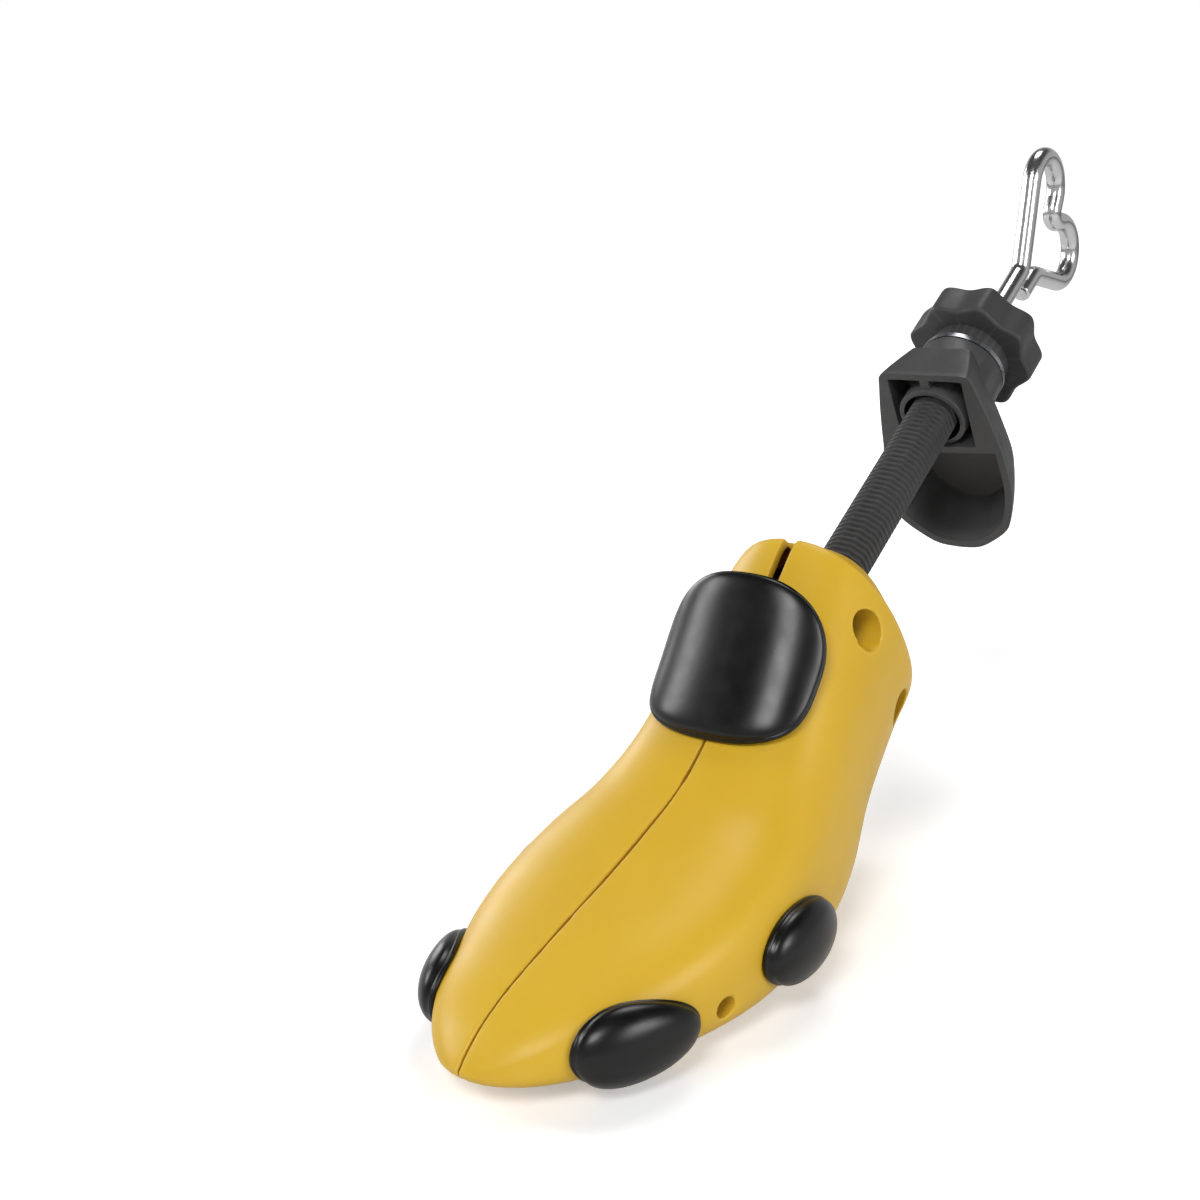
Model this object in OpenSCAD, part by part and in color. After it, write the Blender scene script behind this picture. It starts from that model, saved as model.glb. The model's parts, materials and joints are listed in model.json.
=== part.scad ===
// Two-way shoe stretcher: a split shoe last on a threaded tube, with a heel
// piece driven by a knob and a spreader driven by a heart-shaped handle.
// X is across the shoe, -Y is towards the toe, and Z = 0 is the floor.

/* [Last] */
// Wall thickness of the hollow halves
wall = 3; // [2.4:0.2:4]
// Gap between the halves along the seam when closed
seam_gap = 0.5; // [0.4:0.1:0.8]
// Half of the slot between the halves at the neck
neck_slot_half = 1.8; // [1.6:0.1:2.4]
// Share of the measured width of the last
width_share = 1; // [0.95:0.01:1.05]
// Depth of the rounded end of the neck
neck_dome = 22; // [18:1:24]
// Angle that each half swings out
swing_max = 4; // [2:0.5:4]

/* [Rod] */
// Angle of the tube above the sole
rod_angle = 31.4; // [29:0.2:33]
// Height of the hinge line above the floor, on the tube axis
hinge_z = 70.2; // [68:0.1:72]
// Diameter of the steel rod
rod_d = 6.2; // [5.6:0.2:6.6]
// Outer diameter of the threaded tube
tube_d = 15; // [14:0.5:15.5]
// Distance across the two flats of the tube
tube_flats = 14.4; // [13.2:0.2:14.4]
// Bore of the tube
tube_bore = 8.4; // [8:0.2:9]
// Length of the tube
tube_len = 119; // [115:1:119]
// Running clearance round the rod and the tube, on the radius
run_gap = 0.06; // [0.04:0.01:0.1]
// Clearance where pieces stand next to each other
side_gap = 0.3; // [0.25:0.05:0.4]

/* [Neck] */
// Width of the neck block across the shoe
block_w = 18; // [16:0.5:18]
// Height of the upper neck screw above the tube axis
screw_up = 8; // [7.5:0.5:10]
// Depth of the lower neck screw below the tube axis
screw_down = 24; // [20:1:26]
// Diameter of the neck screws
screw_d = 4.8; // [4:0.2:5]
// Diameter of the screw heads
screw_head_d = 8.4; // [7.6:0.2:8.8]
// Diameter of the counterbores in the halves
counterbore_d = 11.2; // [10.6:0.2:12]

/* [Spreader] */
// Travel of the spreader along the rod
spreader_travel = 18; // [14:1:18]
// Half width of the spreader at its working corners
spreader_half = 9; // [8:0.5:10]
// Distance of the working corners forward of the hinge line
spreader_at = 92; // [90:1:94]
// Width across the square nut
nut_w = 10; // [9.4:0.2:10.4]
// Thickness of the square nut
nut_t = 7; // [6:0.5:8]

/* [Heel] */
// Distance of the heel piece's front rim behind the hinge line
heel_at = 96; // [90:1:97]
// Half width of the heel piece at its top
heel_top_half = 15; // [14:0.5:16]
// Half width of the heel piece where it is widest
heel_wide_half = 21.5; // [20:0.5:23]
// Height of the heel piece above the tube axis
heel_up = 15.7; // [15:0.1:17]
// Reach of the heel piece below the tube axis
heel_down = 49; // [46:1:52]
// Depth of the heel block
heel_depth = 14; // [13:0.5:15]
// Wall thickness of the heel piece
heel_wall = 2.2; // [1.8:0.1:2.6]
// Diameter of the heel piece's hub
hub_d = 21.8; // [21:0.2:23]
// Diameter of the knob over its lobes
knob_d = 41; // [38:1:43]
// Depth of the hollows between the knob's lobes
knob_hollow = 3; // [2:0.25:3.5]
// Number of lobes on the knob
knob_lobes = 8; // [7:1:9]
// Thickness of the knob
knob_t = 12; // [10:1:13]

/* [Handle] */
// Distance of the heart's point behind the hinge line
heart_at = 169; // [165:1:175]
// Radius of the heart's lobes on the wire's centre line
heart_lobe_r = 10.2; // [9:0.2:11]
// Distance of a lobe's centre from the rod's axis
heart_lobe_off = 13; // [11.5:0.5:13.5]
// Distance of the lobes' centres behind the heart's point
heart_len = 28.5; // [26:0.5:32]

/* [Pads] */
// Diameter of the pads' pegs
peg_d = 5.5; // [5:0.1:6]
// Clearance round a peg, on the radius
peg_gap = 0.05; // [0.03:0.01:0.1]
// Height of the side pads at the middle
side_pad_t = 6.5; // [5:0.5:8]
// Height of the instep pad at its front
instep_pad_t = 4; // [3.5:0.5:6]
// How much higher the instep pad stands at its back
instep_rise = 10.5; // [6:0.5:12]

/* [Hidden] */
$fn = 64;

yellow = [0.87, 0.71, 0.2];
black = [0.03, 0.03, 0.03];
dark_grey = [0.24, 0.24, 0.24];
steel = [0.75, 0.76, 0.78];
brass = [0.78, 0.62, 0.3];

rod_r = rod_d / 2;
tube_r = tube_d / 2;
peg_r = peg_d / 2;
toe_reach = 147.8;
handle_reach = (heart_at + heart_len) * cos(rod_angle) + heart_lobe_off * sin(rod_angle) + heart_lobe_r + rod_r;
hinge_y = (toe_reach - handle_reach) / 2;

// Stations of the last, from the neck to the toe. Each has the lowest and the
// highest point of the section as a distance forward of the hinge line and a
// height, then the half width, the height of the widest line as a share, and
// the roundness of the upper and the lower part. The sole is cut flat at Z = 0.
sole_cut = 1;
body_stations = [
    [-28.7, 40.4, 5.3, 99.1, 26, 0.45, 2.3, 2.3],
    [-17.5, 31.0, 15.2, 89.4, 27, 0.48, 2.5, 2.2],
    [0, 14.5, 30.2, 74, 29, 0.5, 2.8, 2.1],
    [14, 2.2, 46.3, 57.5, 32.4, 0.49, 2.9, 2.1],
    [32, -sole_cut, 60, 47.2, 36, 0.46, 3, 2.2],
    [55, -sole_cut, 75, 40.8, 38.7, 0.44, 3.1, 2.5],
    [78, -sole_cut, 92, 34.8, 38.4, 0.42, 3.1, 2.8],
    [98, -sole_cut, 107, 30.2, 34.5, 0.42, 3, 2.7],
    [115, 0.6, 119.2, 26.2, 28.6, 0.42, 2.9, 2.7],
    [128, 2.2, 129.8, 22.5, 23.6, 0.44, 2.8, 2.6],
    [138, 4.2, 139, 18, 16.8, 0.44, 2.6, 2.5],
    [144.5, 6.4, 144.9, 13.5, 9.3, 0.46, 2.3, 2.3],
    [147.5, 8.8, 147.8, 10.5, 3, 0.48, 2, 2]
];
dome_shares = [0.3, 0.55, 0.75, 0.9];

// A section of the dome: the first station, smaller and further back
function dome_station(share, depth) =
    let (
        s = body_stations[0],
        back = depth * (1 - pow(share, 1.5)),
        mid = [(s[0] + s[2]) / 2, (s[1] + s[3]) / 2],
        lo = mid + share * ([s[0], s[1]] - mid) + back * [-cos(rod_angle), sin(rod_angle)],
        hi = mid + share * ([s[2], s[3]] - mid) + back * [-cos(rod_angle), sin(rod_angle)]
    )
    [lo[0], lo[1], hi[0], hi[1], s[4] * share, s[5], s[6], s[7]];

function stations(depth) = concat([for (k = dome_shares) dome_station(k, depth)], body_stations);
outer_stations = stations(neck_dome);
last_station = len(outer_stations) - 1;

// The same station with its outline moved in by the wall
function inset_station(s, w) =
    let (
        lo = [s[0], s[1]], hi = [s[2], s[3]],
        along = (hi - lo) / norm(hi - lo)
    )
    [
        (lo + w * along)[0], (lo + w * along)[1],
        (hi - w * along)[0], (hi - w * along)[1],
        s[4] - w, s[5], s[6], s[7]
    ];

function blend4(a, b, c, d, t) =
    b + t / 2 * (c - a) + t * t / 2 * (2 * a - 5 * b + 4 * c - d)
    + t * t * t / 2 * (3 * b - a - 3 * c + d);

// Smooth station between the listed ones
function station_at(list, u) =
    let (
        n = len(list) - 1,
        i = min(floor(u), n - 1),
        t = u - i
    )
    blend4(list[max(i - 1, 0)], list[i], list[i + 1], list[min(i + 2, n)], t);

// A point of a section: phi runs from -90 under the sole to 90 on the instep
function section_point(s, phi) =
    let (
        n = phi < 0 ? s[7] : s[6],
        side = s[4] * width_share * pow(max(cos(phi), 0), 2 / n),
        lift = pow(abs(sin(phi)), 2 / n),
        v = phi < 0 ? s[5] * (1 - lift) : s[5] + (1 - s[5]) * lift,
        lo = [s[0], s[1]], hi = [s[2], s[3]],
        p = lo + v * (hi - lo)
    )
    [side, hinge_y - p[0], max(p[1], 0)];

section_steps = 18;
function section_angles() = [for (i = [0 : section_steps]) -90 + 180 * i / section_steps];

// Half of the last as one closed solid, from the middle plane outwards
module half_loft(list, from, to, steps) {
    angles = section_angles();
    m = len(angles);
    rings = [for (i = [0 : steps])
        let (s = station_at(list, from + (to - from) * i / steps))
        [for (a = angles) section_point(s, a)]];
    points = [for (r = rings) for (p = r) p];
    sides = [for (i = [0 : steps - 1]) for (j = [0 : m - 1])
        let (a = i * m + j, b = i * m + (j + 1) % m)
        each [[a, b + m, b], [a, a + m, b + m]]];
    first = [for (j = [1 : m - 2]) [0, j, j + 1]];
    last = [for (j = [1 : m - 2]) [steps * m, steps * m + j + 1, steps * m + j]];
    polyhedron(points, concat(sides, first, last), convexity = 6);
}

// Frame of the rod: Y runs back along the tube and Z is square to it
module on_rod() {
    translate([0, hinge_y, hinge_z]) rotate([rod_angle, 0, 0]) children();
}

// A cylinder along the rod, from one distance behind the hinge line to another
module along_rod(r, from, to) {
    translate([0, to, 0]) rotate([90, 0, 0]) cylinder(r = r, h = to - from);
}

// A cylinder across the shoe in the rod's frame
module across(r, y, z, from, to) {
    translate([from, y, z]) rotate([0, 90, 0]) cylinder(r = r, h = to - from);
}

screw_heights = [screw_up, -screw_down];
head_seat = 14;
head_t = 3;
boss_r = counterbore_d / 2 + 2.4;

// Holes for the pads' pegs: distance forward of the hinge line and height
toe_peg = [118.5, 12.5];
ball_peg = [67, 17.5];
spare_peg = [94.5, 11.5];
peg_sites = [toe_peg, ball_peg, spare_peg];
peg_hole_r = peg_r + peg_gap;
peg_boss_r = peg_hole_r + 2;
peg_boss_in = 12;

function site_station(site) = station_at(outer_stations, lookup(site[0], station_table));
station_table = [for (i = [0 : last_station])
    [(outer_stations[i][0] + outer_stations[i][2]) / 2, i]];
function site_half(site) = site_station(site)[4] * width_share;

// Profile of the ramp that the spreader works on, in the rod's frame: the
// path of the working corner as the half swings, moved out by the clearance
swing_per_mm = swing_max / spreader_travel;
hinge_x = block_w / 2;
// Round rib on which a half swings
rib_r = 1.5;
function ramp_point(p) =
    let (
        a = swing_per_mm * p,
        dx = spreader_half + side_gap - hinge_x,
        ds = spreader_at - p
    )
    [hinge_x + dx * cos(a) - ds * sin(a), -(ds * cos(a) + dx * sin(a))];
ramp_reach = 12;
ramp_points = [for (i = [0 : 10]) ramp_point(-ramp_reach + (spreader_travel + 1 + ramp_reach) * i / 10)];

module ramp_plate(z, t) {
    far = 40;
    translate([0, 0, z - t / 2]) linear_extrude(t)
        polygon(concat(ramp_points, [[far, ramp_points[10][1]], [far, ramp_points[0][1]]]));
}
ramp_plate_z = 6;
ramp_plate_t = 3;

spring_at = -117;
spring_r = 3;
spring_wire = 0.6;
spring_turns = 9;
spring_body = 22;
spring_end_t = 0.8;
spring_pin_r = 1.2;
pin_half = 7;
pin_x = spring_body / 2 + 4;
hook_gap = 0.15;
hook_r = spring_pin_r + hook_gap + 2 * spring_wire;
post_from = spring_body / 2 + spring_end_t / 2 + side_gap;
post_front = 5;
post_back = 2.4;

module half_shell() {
    cavity = [for (s = outer_stations) inset_station(s, wall)];
    difference() {
        half_loft(outer_stations, 0, last_station, 44);
        difference() {
            half_loft(cavity, 1.6, last_station - 1.35, 24);
            half_ribs();
        }
        half_cuts();
    }
}

// Bosses, ramp plates and the spring's post inside a half
module half_ribs() {
    on_rod() {
        for (z = screw_heights)
            across(boss_r, 0, z, block_w / 2 + side_gap, 40);
        for (z = [-ramp_plate_z, ramp_plate_z]) ramp_plate(z, ramp_plate_t);
        // The post stays clear of the spare hole behind it
        translate([post_from, spring_at - post_front, -5]) cube([30, post_front + post_back, 10]);
    }
    for (site = peg_sites)
        translate([site_half(site) - peg_boss_in, hinge_y - site[0], site[1]])
            rotate([0, 90, 0]) cylinder(r = peg_boss_r, h = 30);
}

// Everything that is cut out of a half
module half_cuts() {
    big = 400;
    // The seam, and the slot that lets the neck close as the toe opens
    translate([seam_gap / 2 - big, -big / 2, -big / 2]) cube(big);
    on_rod() {
        translate([0, 0, -100]) linear_extrude(200)
            polygon([[-5, 45], [neck_slot_half + 0.6, 45], [neck_slot_half, 0],
                [seam_gap / 2, -38], [-5, -38]]);
        along_rod(tube_r + neck_shift + side_gap, 6, 60);
        for (z = screw_heights) {
            across(counterbore_d / 2, 0, z, head_seat, 60);
            across(screw_d / 2 + 0.6, 0, z, 0, 60);
        }
        along_rod(rod_r + 0.6, -112, 0);
        // Seat of the neck block's hinge rib
        translate([hinge_x, 0, -block_down - 0.5]) cylinder(r = rib_r + run_gap, h = block_down + block_up + 1);
        // Room for the instep pad's stem
        translate([0, -stem_back, stem_base - 1]) cylinder(r = peg_hole_r + side_gap, h = 40);
        // The pin that holds the spring
        translate([pin_x, spring_at, -pin_half]) cylinder(r = spring_pin_r + run_gap, h = 2 * pin_half);
        translate([0, spring_at - 5, -2.2]) cube([pin_x + hook_r + side_gap, 10, 4.4]);
    }
    for (site = peg_sites)
        translate([site_half(site) - peg_boss_in - 1, hinge_y - site[0], site[1]])
            rotate([0, 90, 0]) cylinder(r = peg_hole_r, h = 60);
}
neck_shift = 30 * sin(swing_max);

// Distance across the shoe of the last's surface at a distance forward of the
// hinge line and a height, found by halving
function stations_between(d, z, a, b, k) =
    let (
        u = (a + b) / 2,
        s = station_at(outer_stations, u),
        at = s[0] + (z - s[1]) / (s[3] - s[1]) * (s[2] - s[0])
    )
    k == 0 ? u : at < d ? stations_between(d, z, u, b, k - 1) : stations_between(d, z, a, u, k - 1);
function side_at(s, z) =
    let (
        v = (z - s[1]) / (s[3] - s[1]),
        n = v < s[5] ? s[7] : s[6],
        lift = v < s[5] ? 1 - v / s[5] : (v - s[5]) / (1 - s[5])
    )
    s[4] * width_share * pow(max(1 - pow(min(abs(lift), 1), n), 0), 1 / n);
function surface_at(d, z) = side_at(station_at(outer_stations, stations_between(d, z, 0, last_station, 14)), z);
// A point at a height above the surface
function off_surface(d, z, h) =
    let (
        x = surface_at(d, z),
        fd = (surface_at(d + 0.5, z) - surface_at(d - 0.5, z)),
        fz = (surface_at(d, z + 0.5) - surface_at(d, z - 0.5)),
        n = [1, fd, -fz] / norm([1, fd, -fz])
    )
    [x, hinge_y - d, z] + h * n;

pad_rings = 5;
pad_corners = 32;
pad_rest = 0.15;
side_pad_size = [16, 9.4];
toe_pad_size = [15.2, 8.6];
pad_edge = 1.4;
// Height of a pad's top at a share of its radius: a rim, then a dome
function pad_profile(k, t) = k > 0.98 ? pad_edge * 0.4 : pad_edge + (t - pad_edge) * sqrt(1 - k * k);

// An oval pad that follows the last's side round its peg
module side_pad(site, size) {
    n = pad_corners;
    at = function (k, i, h)
        off_surface(site[0] + size[0] * k * cos(360 * i / n), site[1] + size[1] * k * sin(360 * i / n), h);
    under = [for (r = [1 : pad_rings]) for (i = [0 : n - 1]) at(r / pad_rings, i, pad_rest)];
    over = [for (r = [1 : pad_rings]) for (i = [0 : n - 1])
        at(r / pad_rings, i, pad_rest + pad_profile(r / pad_rings, side_pad_t))];
    m = pad_rings * n;
    points = concat(under, over, [at(0, 0, pad_rest), at(0, 0, pad_rest + side_pad_t)]);
    strips = [for (r = [0 : pad_rings - 2]) for (i = [0 : n - 1])
        let (a = r * n + i, b = r * n + (i + 1) % n)
        each [[a, b, b + n], [a, b + n, a + n], [m + a, m + b + n, m + b], [m + a, m + a + n, m + b + n]]];
    edge = (pad_rings - 1) * n;
    rim = [for (i = [0 : n - 1]) let (a = edge + i, b = edge + (i + 1) % n)
        each [[a, b, m + b], [a, m + b, m + a]]];
    hubs = [for (i = [0 : n - 1]) each [[2 * m, (i + 1) % n, i], [2 * m + 1, m + i, m + (i + 1) % n]]];
    polyhedron(points, concat(strips, rim, hubs), convexity = 4);
    translate([surface_at(site[0], site[1]) - peg_len, hinge_y - site[0], site[1]])
        rotate([0, 90, 0]) cylinder(r = peg_r, h = peg_len + 2);
}
peg_len = 9;

// The instep pad rides on the neck block, clear of the halves as they swing.
// It is laid out by station and by share of the half width.
instep_mid = 6.15;
instep_half = 1;
instep_share = 0.74;
stem_back = 7;
stem_base = 8;
stem_top = 24;
function instep_base(u, q) =
    let (
        s = station_at(outer_stations, u),
        p = section_point(s, acos(pow(min(abs(q), 1), s[6] / 2)))
    )
    [sign(q) * p[0], p[1], p[2]];
function instep_point(u, q, h) =
    let (
        p = instep_base(u, q),
        a = instep_base(u + 0.05, q) - instep_base(u - 0.05, q),
        b = instep_base(u, q + 0.02) - instep_base(u, q - 0.02),
        n = cross(b, a) / norm(cross(b, a)),
        m = n[2] < 0 ? -n : n,
        back = max(hinge_y - p[1], 0),
        gap = side_gap + 1.1 * back * sin(swing_max) * abs(m[0])
    )
    p + m * (gap + h);

module instep_pad() {
    n = pad_corners;
    at = function (k, i, h)
        let (c = cos(360 * i / n), s = sin(360 * i / n), e = 0.78)
        instep_point(instep_mid + instep_half * k * sign(c) * pow(abs(c), e),
            instep_share * k * sign(s) * pow(abs(s), e) + 0.001, h);
    under = [for (r = [1 : pad_rings]) for (i = [0 : n - 1]) at(r / pad_rings, i, 0)];
    // The top rises from the front of the pad to its back
    rise = function (k, i) let (c = k * cos(360 * i / n)) instep_rise * pow((1 - c) / 2, 2.5);
    over = [for (r = [1 : pad_rings]) for (i = [0 : n - 1])
        at(r / pad_rings, i, pad_profile(r / pad_rings, instep_pad_t) + rise(r / pad_rings, i))];
    m = pad_rings * n;
    points = concat(under, over, [at(0, 0, 0), at(0, 0, instep_pad_t + rise(0, 0))]);
    strips = [for (r = [0 : pad_rings - 2]) for (i = [0 : n - 1])
        let (a = r * n + i, b = r * n + (i + 1) % n)
        each [[a, b + n, b], [a, a + n, b + n], [m + a, m + b, m + b + n], [m + a, m + b + n, m + a + n]]];
    edge = (pad_rings - 1) * n;
    rim = [for (i = [0 : n - 1]) let (a = edge + i, b = edge + (i + 1) % n)
        each [[a, m + b, b], [a, m + a, m + b]]];
    hubs = [for (i = [0 : n - 1]) each [[2 * m, i, (i + 1) % n], [2 * m + 1, m + (i + 1) % n, m + i]]];
    polyhedron(points, concat(strips, rim, hubs), convexity = 4);
    on_rod() translate([0, -stem_back, stem_base]) cylinder(r = peg_r, h = stem_top - stem_base);
}

block_front = 11.5;
block_back = 12;
block_up = 15;
block_down = 33;
tube_from = 6;
tube_to = tube_from + tube_len;

// The block that joins the halves, the tube and the instep pad. A round rib on
// each side is the hinge that a half swings on.
module neck_block() {
    on_rod() difference() {
        union() {
            translate([0, 0, -block_down]) linear_extrude(block_down + block_up)
                polygon([
                    [hinge_x - 0.8, -block_front], [hinge_x, -1], [hinge_x, 1], [hinge_x - 0.9, block_back],
                    [0.9 - hinge_x, block_back], [-hinge_x, 1], [-hinge_x, -1], [0.8 - hinge_x, -block_front]
                ]);
            for (m = [-1, 1])
                translate([m * hinge_x, 0, -block_down]) cylinder(r = rib_r, h = block_down + block_up);
        }
        along_rod(rod_r + run_gap, -20, 20);
        along_rod(tube_r + run_gap, tube_from, 20);
        for (z = screw_heights) across(screw_d / 2 + run_gap, 0, z, -block_w, block_w);
        translate([0, -stem_back, stem_base - 1]) cylinder(r = peg_hole_r, h = 20);
        // Weight-saving hollow below the tube, open at the front
        translate([-5.5, -block_front - 1, -19]) cube([11, 2 * block_front - 4, 7]);
    }
}

// Four shoulder screws on which the halves swing
module neck_screws() {
    on_rod() for (z = screw_heights, m = [0, 1]) mirror([m, 0, 0]) difference() {
        union() {
            across(screw_d / 2, 0, z, 3.6, head_seat + 0.4);
            across(screw_head_d / 2, 0, z, head_seat + 0.4, head_seat + 0.4 + head_t);
        }
        translate([head_seat + 1.6, 0, z]) rotate([0, 90, 0]) cylinder(r = 2.3, h = 5, $fn = 6);
    }
}

module threaded_tube() {
    on_rod() difference() {
        intersection() {
            along_rod(tube_r, tube_from, tube_to);
            translate([-tube_flats / 2, tube_from - 1, -20]) cube([tube_flats, tube_len + 2, 40]);
        }
        along_rod(tube_bore / 2, tube_from - 1, tube_to + 1);
    }
}

clip_t = 1;
// Bearing for the rod in the tube's open end
module tube_end_bush() {
    on_rod() difference() {
        union() {
            along_rod(tube_bore / 2 - run_gap, tube_to - 7, tube_to);
            along_rod(tube_bore / 2 + 1.6, tube_to, tube_to + 1.2);
        }
        along_rod(rod_r + run_gap, tube_to - 10, tube_to + 10);
    }
}
clip_at = tube_to + 1.4;

// Snap clip in the rod's groove
module rod_clip() {
    on_rod() difference() {
        along_rod(rod_r + 2, clip_at, clip_at + clip_t);
        along_rod(rod_r - 0.5, clip_at - 1, clip_at + 3);
        translate([-1.6, clip_at - 1, -9]) cube([3.2, 4, 9]);
    }
}

rod_front = -108;
lobe_far = sqrt(heart_len * heart_len + heart_lobe_off * heart_lobe_off);
leg_angle = atan2(heart_lobe_off, heart_len) + asin(heart_lobe_r / lobe_far);
leg_len = sqrt(lobe_far * lobe_far - heart_lobe_r * heart_lobe_r);
notch_turn = 57.5;
notch_r = rod_r + 0.2;
end_gap = 0.3;

// Points along an arc in the heart's plane; angles start behind the centre
function arc_points(y, z, r, from, to, n) =
    [for (i = [0 : n]) let (a = from + (to - from) * i / n) [y + r * cos(a), z + r * sin(a)]];
lobe_y = heart_at + heart_len;
lobe_turn = 90 + leg_angle;
// Where a lobe's arc ends, and the bend of the notch between the lobes
arc_y = lobe_y + heart_lobe_r * cos(notch_turn);
arc_z = heart_lobe_off - heart_lobe_r * sin(notch_turn);
notch_y = arc_y - arc_z * tan(notch_turn) + notch_r / cos(notch_turn);
// The wire's free end runs beside the shank
free_z = 2 * rod_r + end_gap;
free_y = heart_at + free_z / tan(leg_angle);
bend_r = 6;
bend_back = bend_r * tan(leg_angle / 2);
shank_end = heart_at - bend_back - 1;
heart_path = concat(
    [[shank_end - 0.4, 0]],
    arc_points(heart_at - bend_back, bend_r, bend_r, -90, leg_angle - 90, 5),
    arc_points(lobe_y, heart_lobe_off, heart_lobe_r, lobe_turn, -notch_turn, 20),
    arc_points(notch_y, 0, notch_r, 180 - notch_turn, 180 + notch_turn, 8),
    arc_points(lobe_y, -heart_lobe_off, heart_lobe_r, notch_turn, -lobe_turn, 20),
    arc_points(free_y - bend_back, -free_z - bend_r, bend_r, 90 - leg_angle, 90, 5),
    [[heart_at - 4, -free_z]]
);
wire_sides = 16;

// Steel rod whose end is bent into a heart
module drive_rod() {
    n = len(heart_path) - 1;
    r = rod_r - 0.01;
    points = [for (i = [0 : n])
        let (
            a = heart_path[max(i - 1, 0)], b = heart_path[min(i + 1, n)],
            d = (b - a) / norm(b - a), p = heart_path[i]
        )
        for (k = [0 : wire_sides - 1]) let (q = 360 * k / wire_sides)
            [r * sin(q), p[0] - d[1] * r * cos(q), p[1] + d[0] * r * cos(q)]];
    skin = [for (i = [0 : n - 1]) for (k = [0 : wire_sides - 1])
        let (a = i * wire_sides + k, b = i * wire_sides + (k + 1) % wire_sides)
        each [[a, b + wire_sides, b], [a, a + wire_sides, b + wire_sides]]];
    ends = [[for (k = [0 : wire_sides - 1]) k], [for (k = [0 : wire_sides - 1]) (n + 1) * wire_sides - 1 - k]];
    on_rod() {
        difference() {
            along_rod(rod_r, rod_front, shank_end);
            difference() {
                along_rod(rod_r + 1, clip_at - 0.1, clip_at + clip_t + 0.1);
                along_rod(rod_r - 0.6, clip_at - 1, clip_at + clip_t + 1);
            }
        }
        polyhedron(points, concat(skin, ends), convexity = 8);
    }
}

// Loose washer and fixed collar that take the rod's pull in front of the block
module thrust_washer() {
    on_rod() difference() {
        along_rod(5.2, -block_front - 1.1, -block_front - 0.1);
        along_rod(rod_r + run_gap, -30, 0);
    }
}
module front_collar() {
    on_rod() difference() {
        along_rod(5.6, -block_front - 6, -block_front - 1.2);
        along_rod(rod_r + run_gap, -30, 0);
        translate([0, -block_front - 3.6, 0]) cylinder(r = 1.2, h = 9);
    }
}

wedge_front = spreader_at + 14;
wedge_nose = spreader_at - 10;
nose_half = 3.8;
wedge_half_h = 8.5;
nut_at = spreader_at + 4;

// Wedge that runs along the rod between the ramps
module spreader_wedge() {
    on_rod() difference() {
        translate([0, 0, -wedge_half_h]) linear_extrude(2 * wedge_half_h)
            polygon([
                [-nose_half, -wedge_nose], [-spreader_half, -spreader_at], [-spreader_half, -wedge_front + 2],
                [2 - spreader_half, -wedge_front], [spreader_half - 2, -wedge_front],
                [spreader_half, -wedge_front + 2], [spreader_half, -spreader_at], [nose_half, -wedge_nose]
            ]);
        along_rod(rod_r + 0.25, -wedge_front - 1, 0);
        translate([-nut_w / 2 - run_gap, -nut_at - nut_t - run_gap, -nut_w / 2 - run_gap])
            cube([nut_w + 2 * run_gap, nut_t + 2 * run_gap, 30]);
    }
}
module spreader_nut() {
    on_rod() difference() {
        translate([-nut_w / 2, -nut_at - nut_t, -nut_w / 2]) cube([nut_w, nut_t, nut_w]);
        along_rod(rod_r + run_gap, -200, 0);
    }
}

// Coil between the two pins, with a hook at each end
module closing_spring() {
    per_turn = 11;
    n = spring_turns * per_turn;
    sides = 6;
    rings = [for (i = [0 : n]) let (a = 360 * i / per_turn, x = -spring_body / 2 + spring_body * i / n)
        [for (k = [0 : sides - 1]) let (q = 360 * k / sides, r = spring_r - spring_wire + spring_wire * cos(q))
            [x + spring_wire * sin(q), spring_at + r * cos(a), r * sin(a)]]];
    points = [for (r = rings) for (p = r) p];
    skin = [for (i = [0 : n - 1]) for (k = [0 : sides - 1])
        let (a = i * sides + k, b = i * sides + (k + 1) % sides)
        each [[a, b, b + sides], [a, b + sides, a + sides]]];
    ends = [[for (k = [0 : sides - 1]) sides - 1 - k], [for (k = [0 : sides - 1]) n * sides + k]];
    on_rod() {
        polyhedron(points, concat(skin, ends), convexity = 10);
        for (m = [1, -1]) {
            translate([m * pin_x, spring_at, 0])
                rotate_extrude() translate([hook_r - spring_wire, 0]) circle(spring_wire, $fn = 24);
            across(spring_wire, spring_at, 0, m > 0 ? spring_body / 2 - 0.4 : -pin_x + 1.4,
                m > 0 ? pin_x - 1.4 : -spring_body / 2 + 0.4);
            translate([m * (spring_body / 2), spring_at, 0]) rotate([0, 90, 0])
                cylinder(r = spring_r - spring_wire, h = spring_end_t, center = true);
        }
    }
}
module spring_pin() {
    on_rod() translate([pin_x, spring_at, -pin_half]) cylinder(r = spring_pin_r, h = 2 * pin_half);
}

// Outline of the heel piece seen along the tube: half width and height
heel_lean = [[heel_up, 0], [-12, 2], [-28, 5], [-39, 8], [-heel_down, 9]];
function heel_key(t) =
    let (w = heel_wide_half, keys = [
        [0, heel_up], [heel_top_half - 3, heel_up], [heel_top_half, heel_up - 1.2], [heel_top_half + 1.2, 10],
        [w - 3.2, 0], [w - 1.2, -12], [w - 0.1, -22], [w, -28], [w - 0.9, -34], [w - 2.9, -39.5],
        [w - 8.4, -44.6], [7, heel_bend - 0.4], [0, -heel_down]
    ], i = min(floor(t), 11), f = t - i)
    blend4(keys[max(i - 1, 0)], keys[i], keys[i + 1], keys[min(i + 2, 12)], f);
heel_bend = -47.8;
heel_steps = 28;
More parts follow.
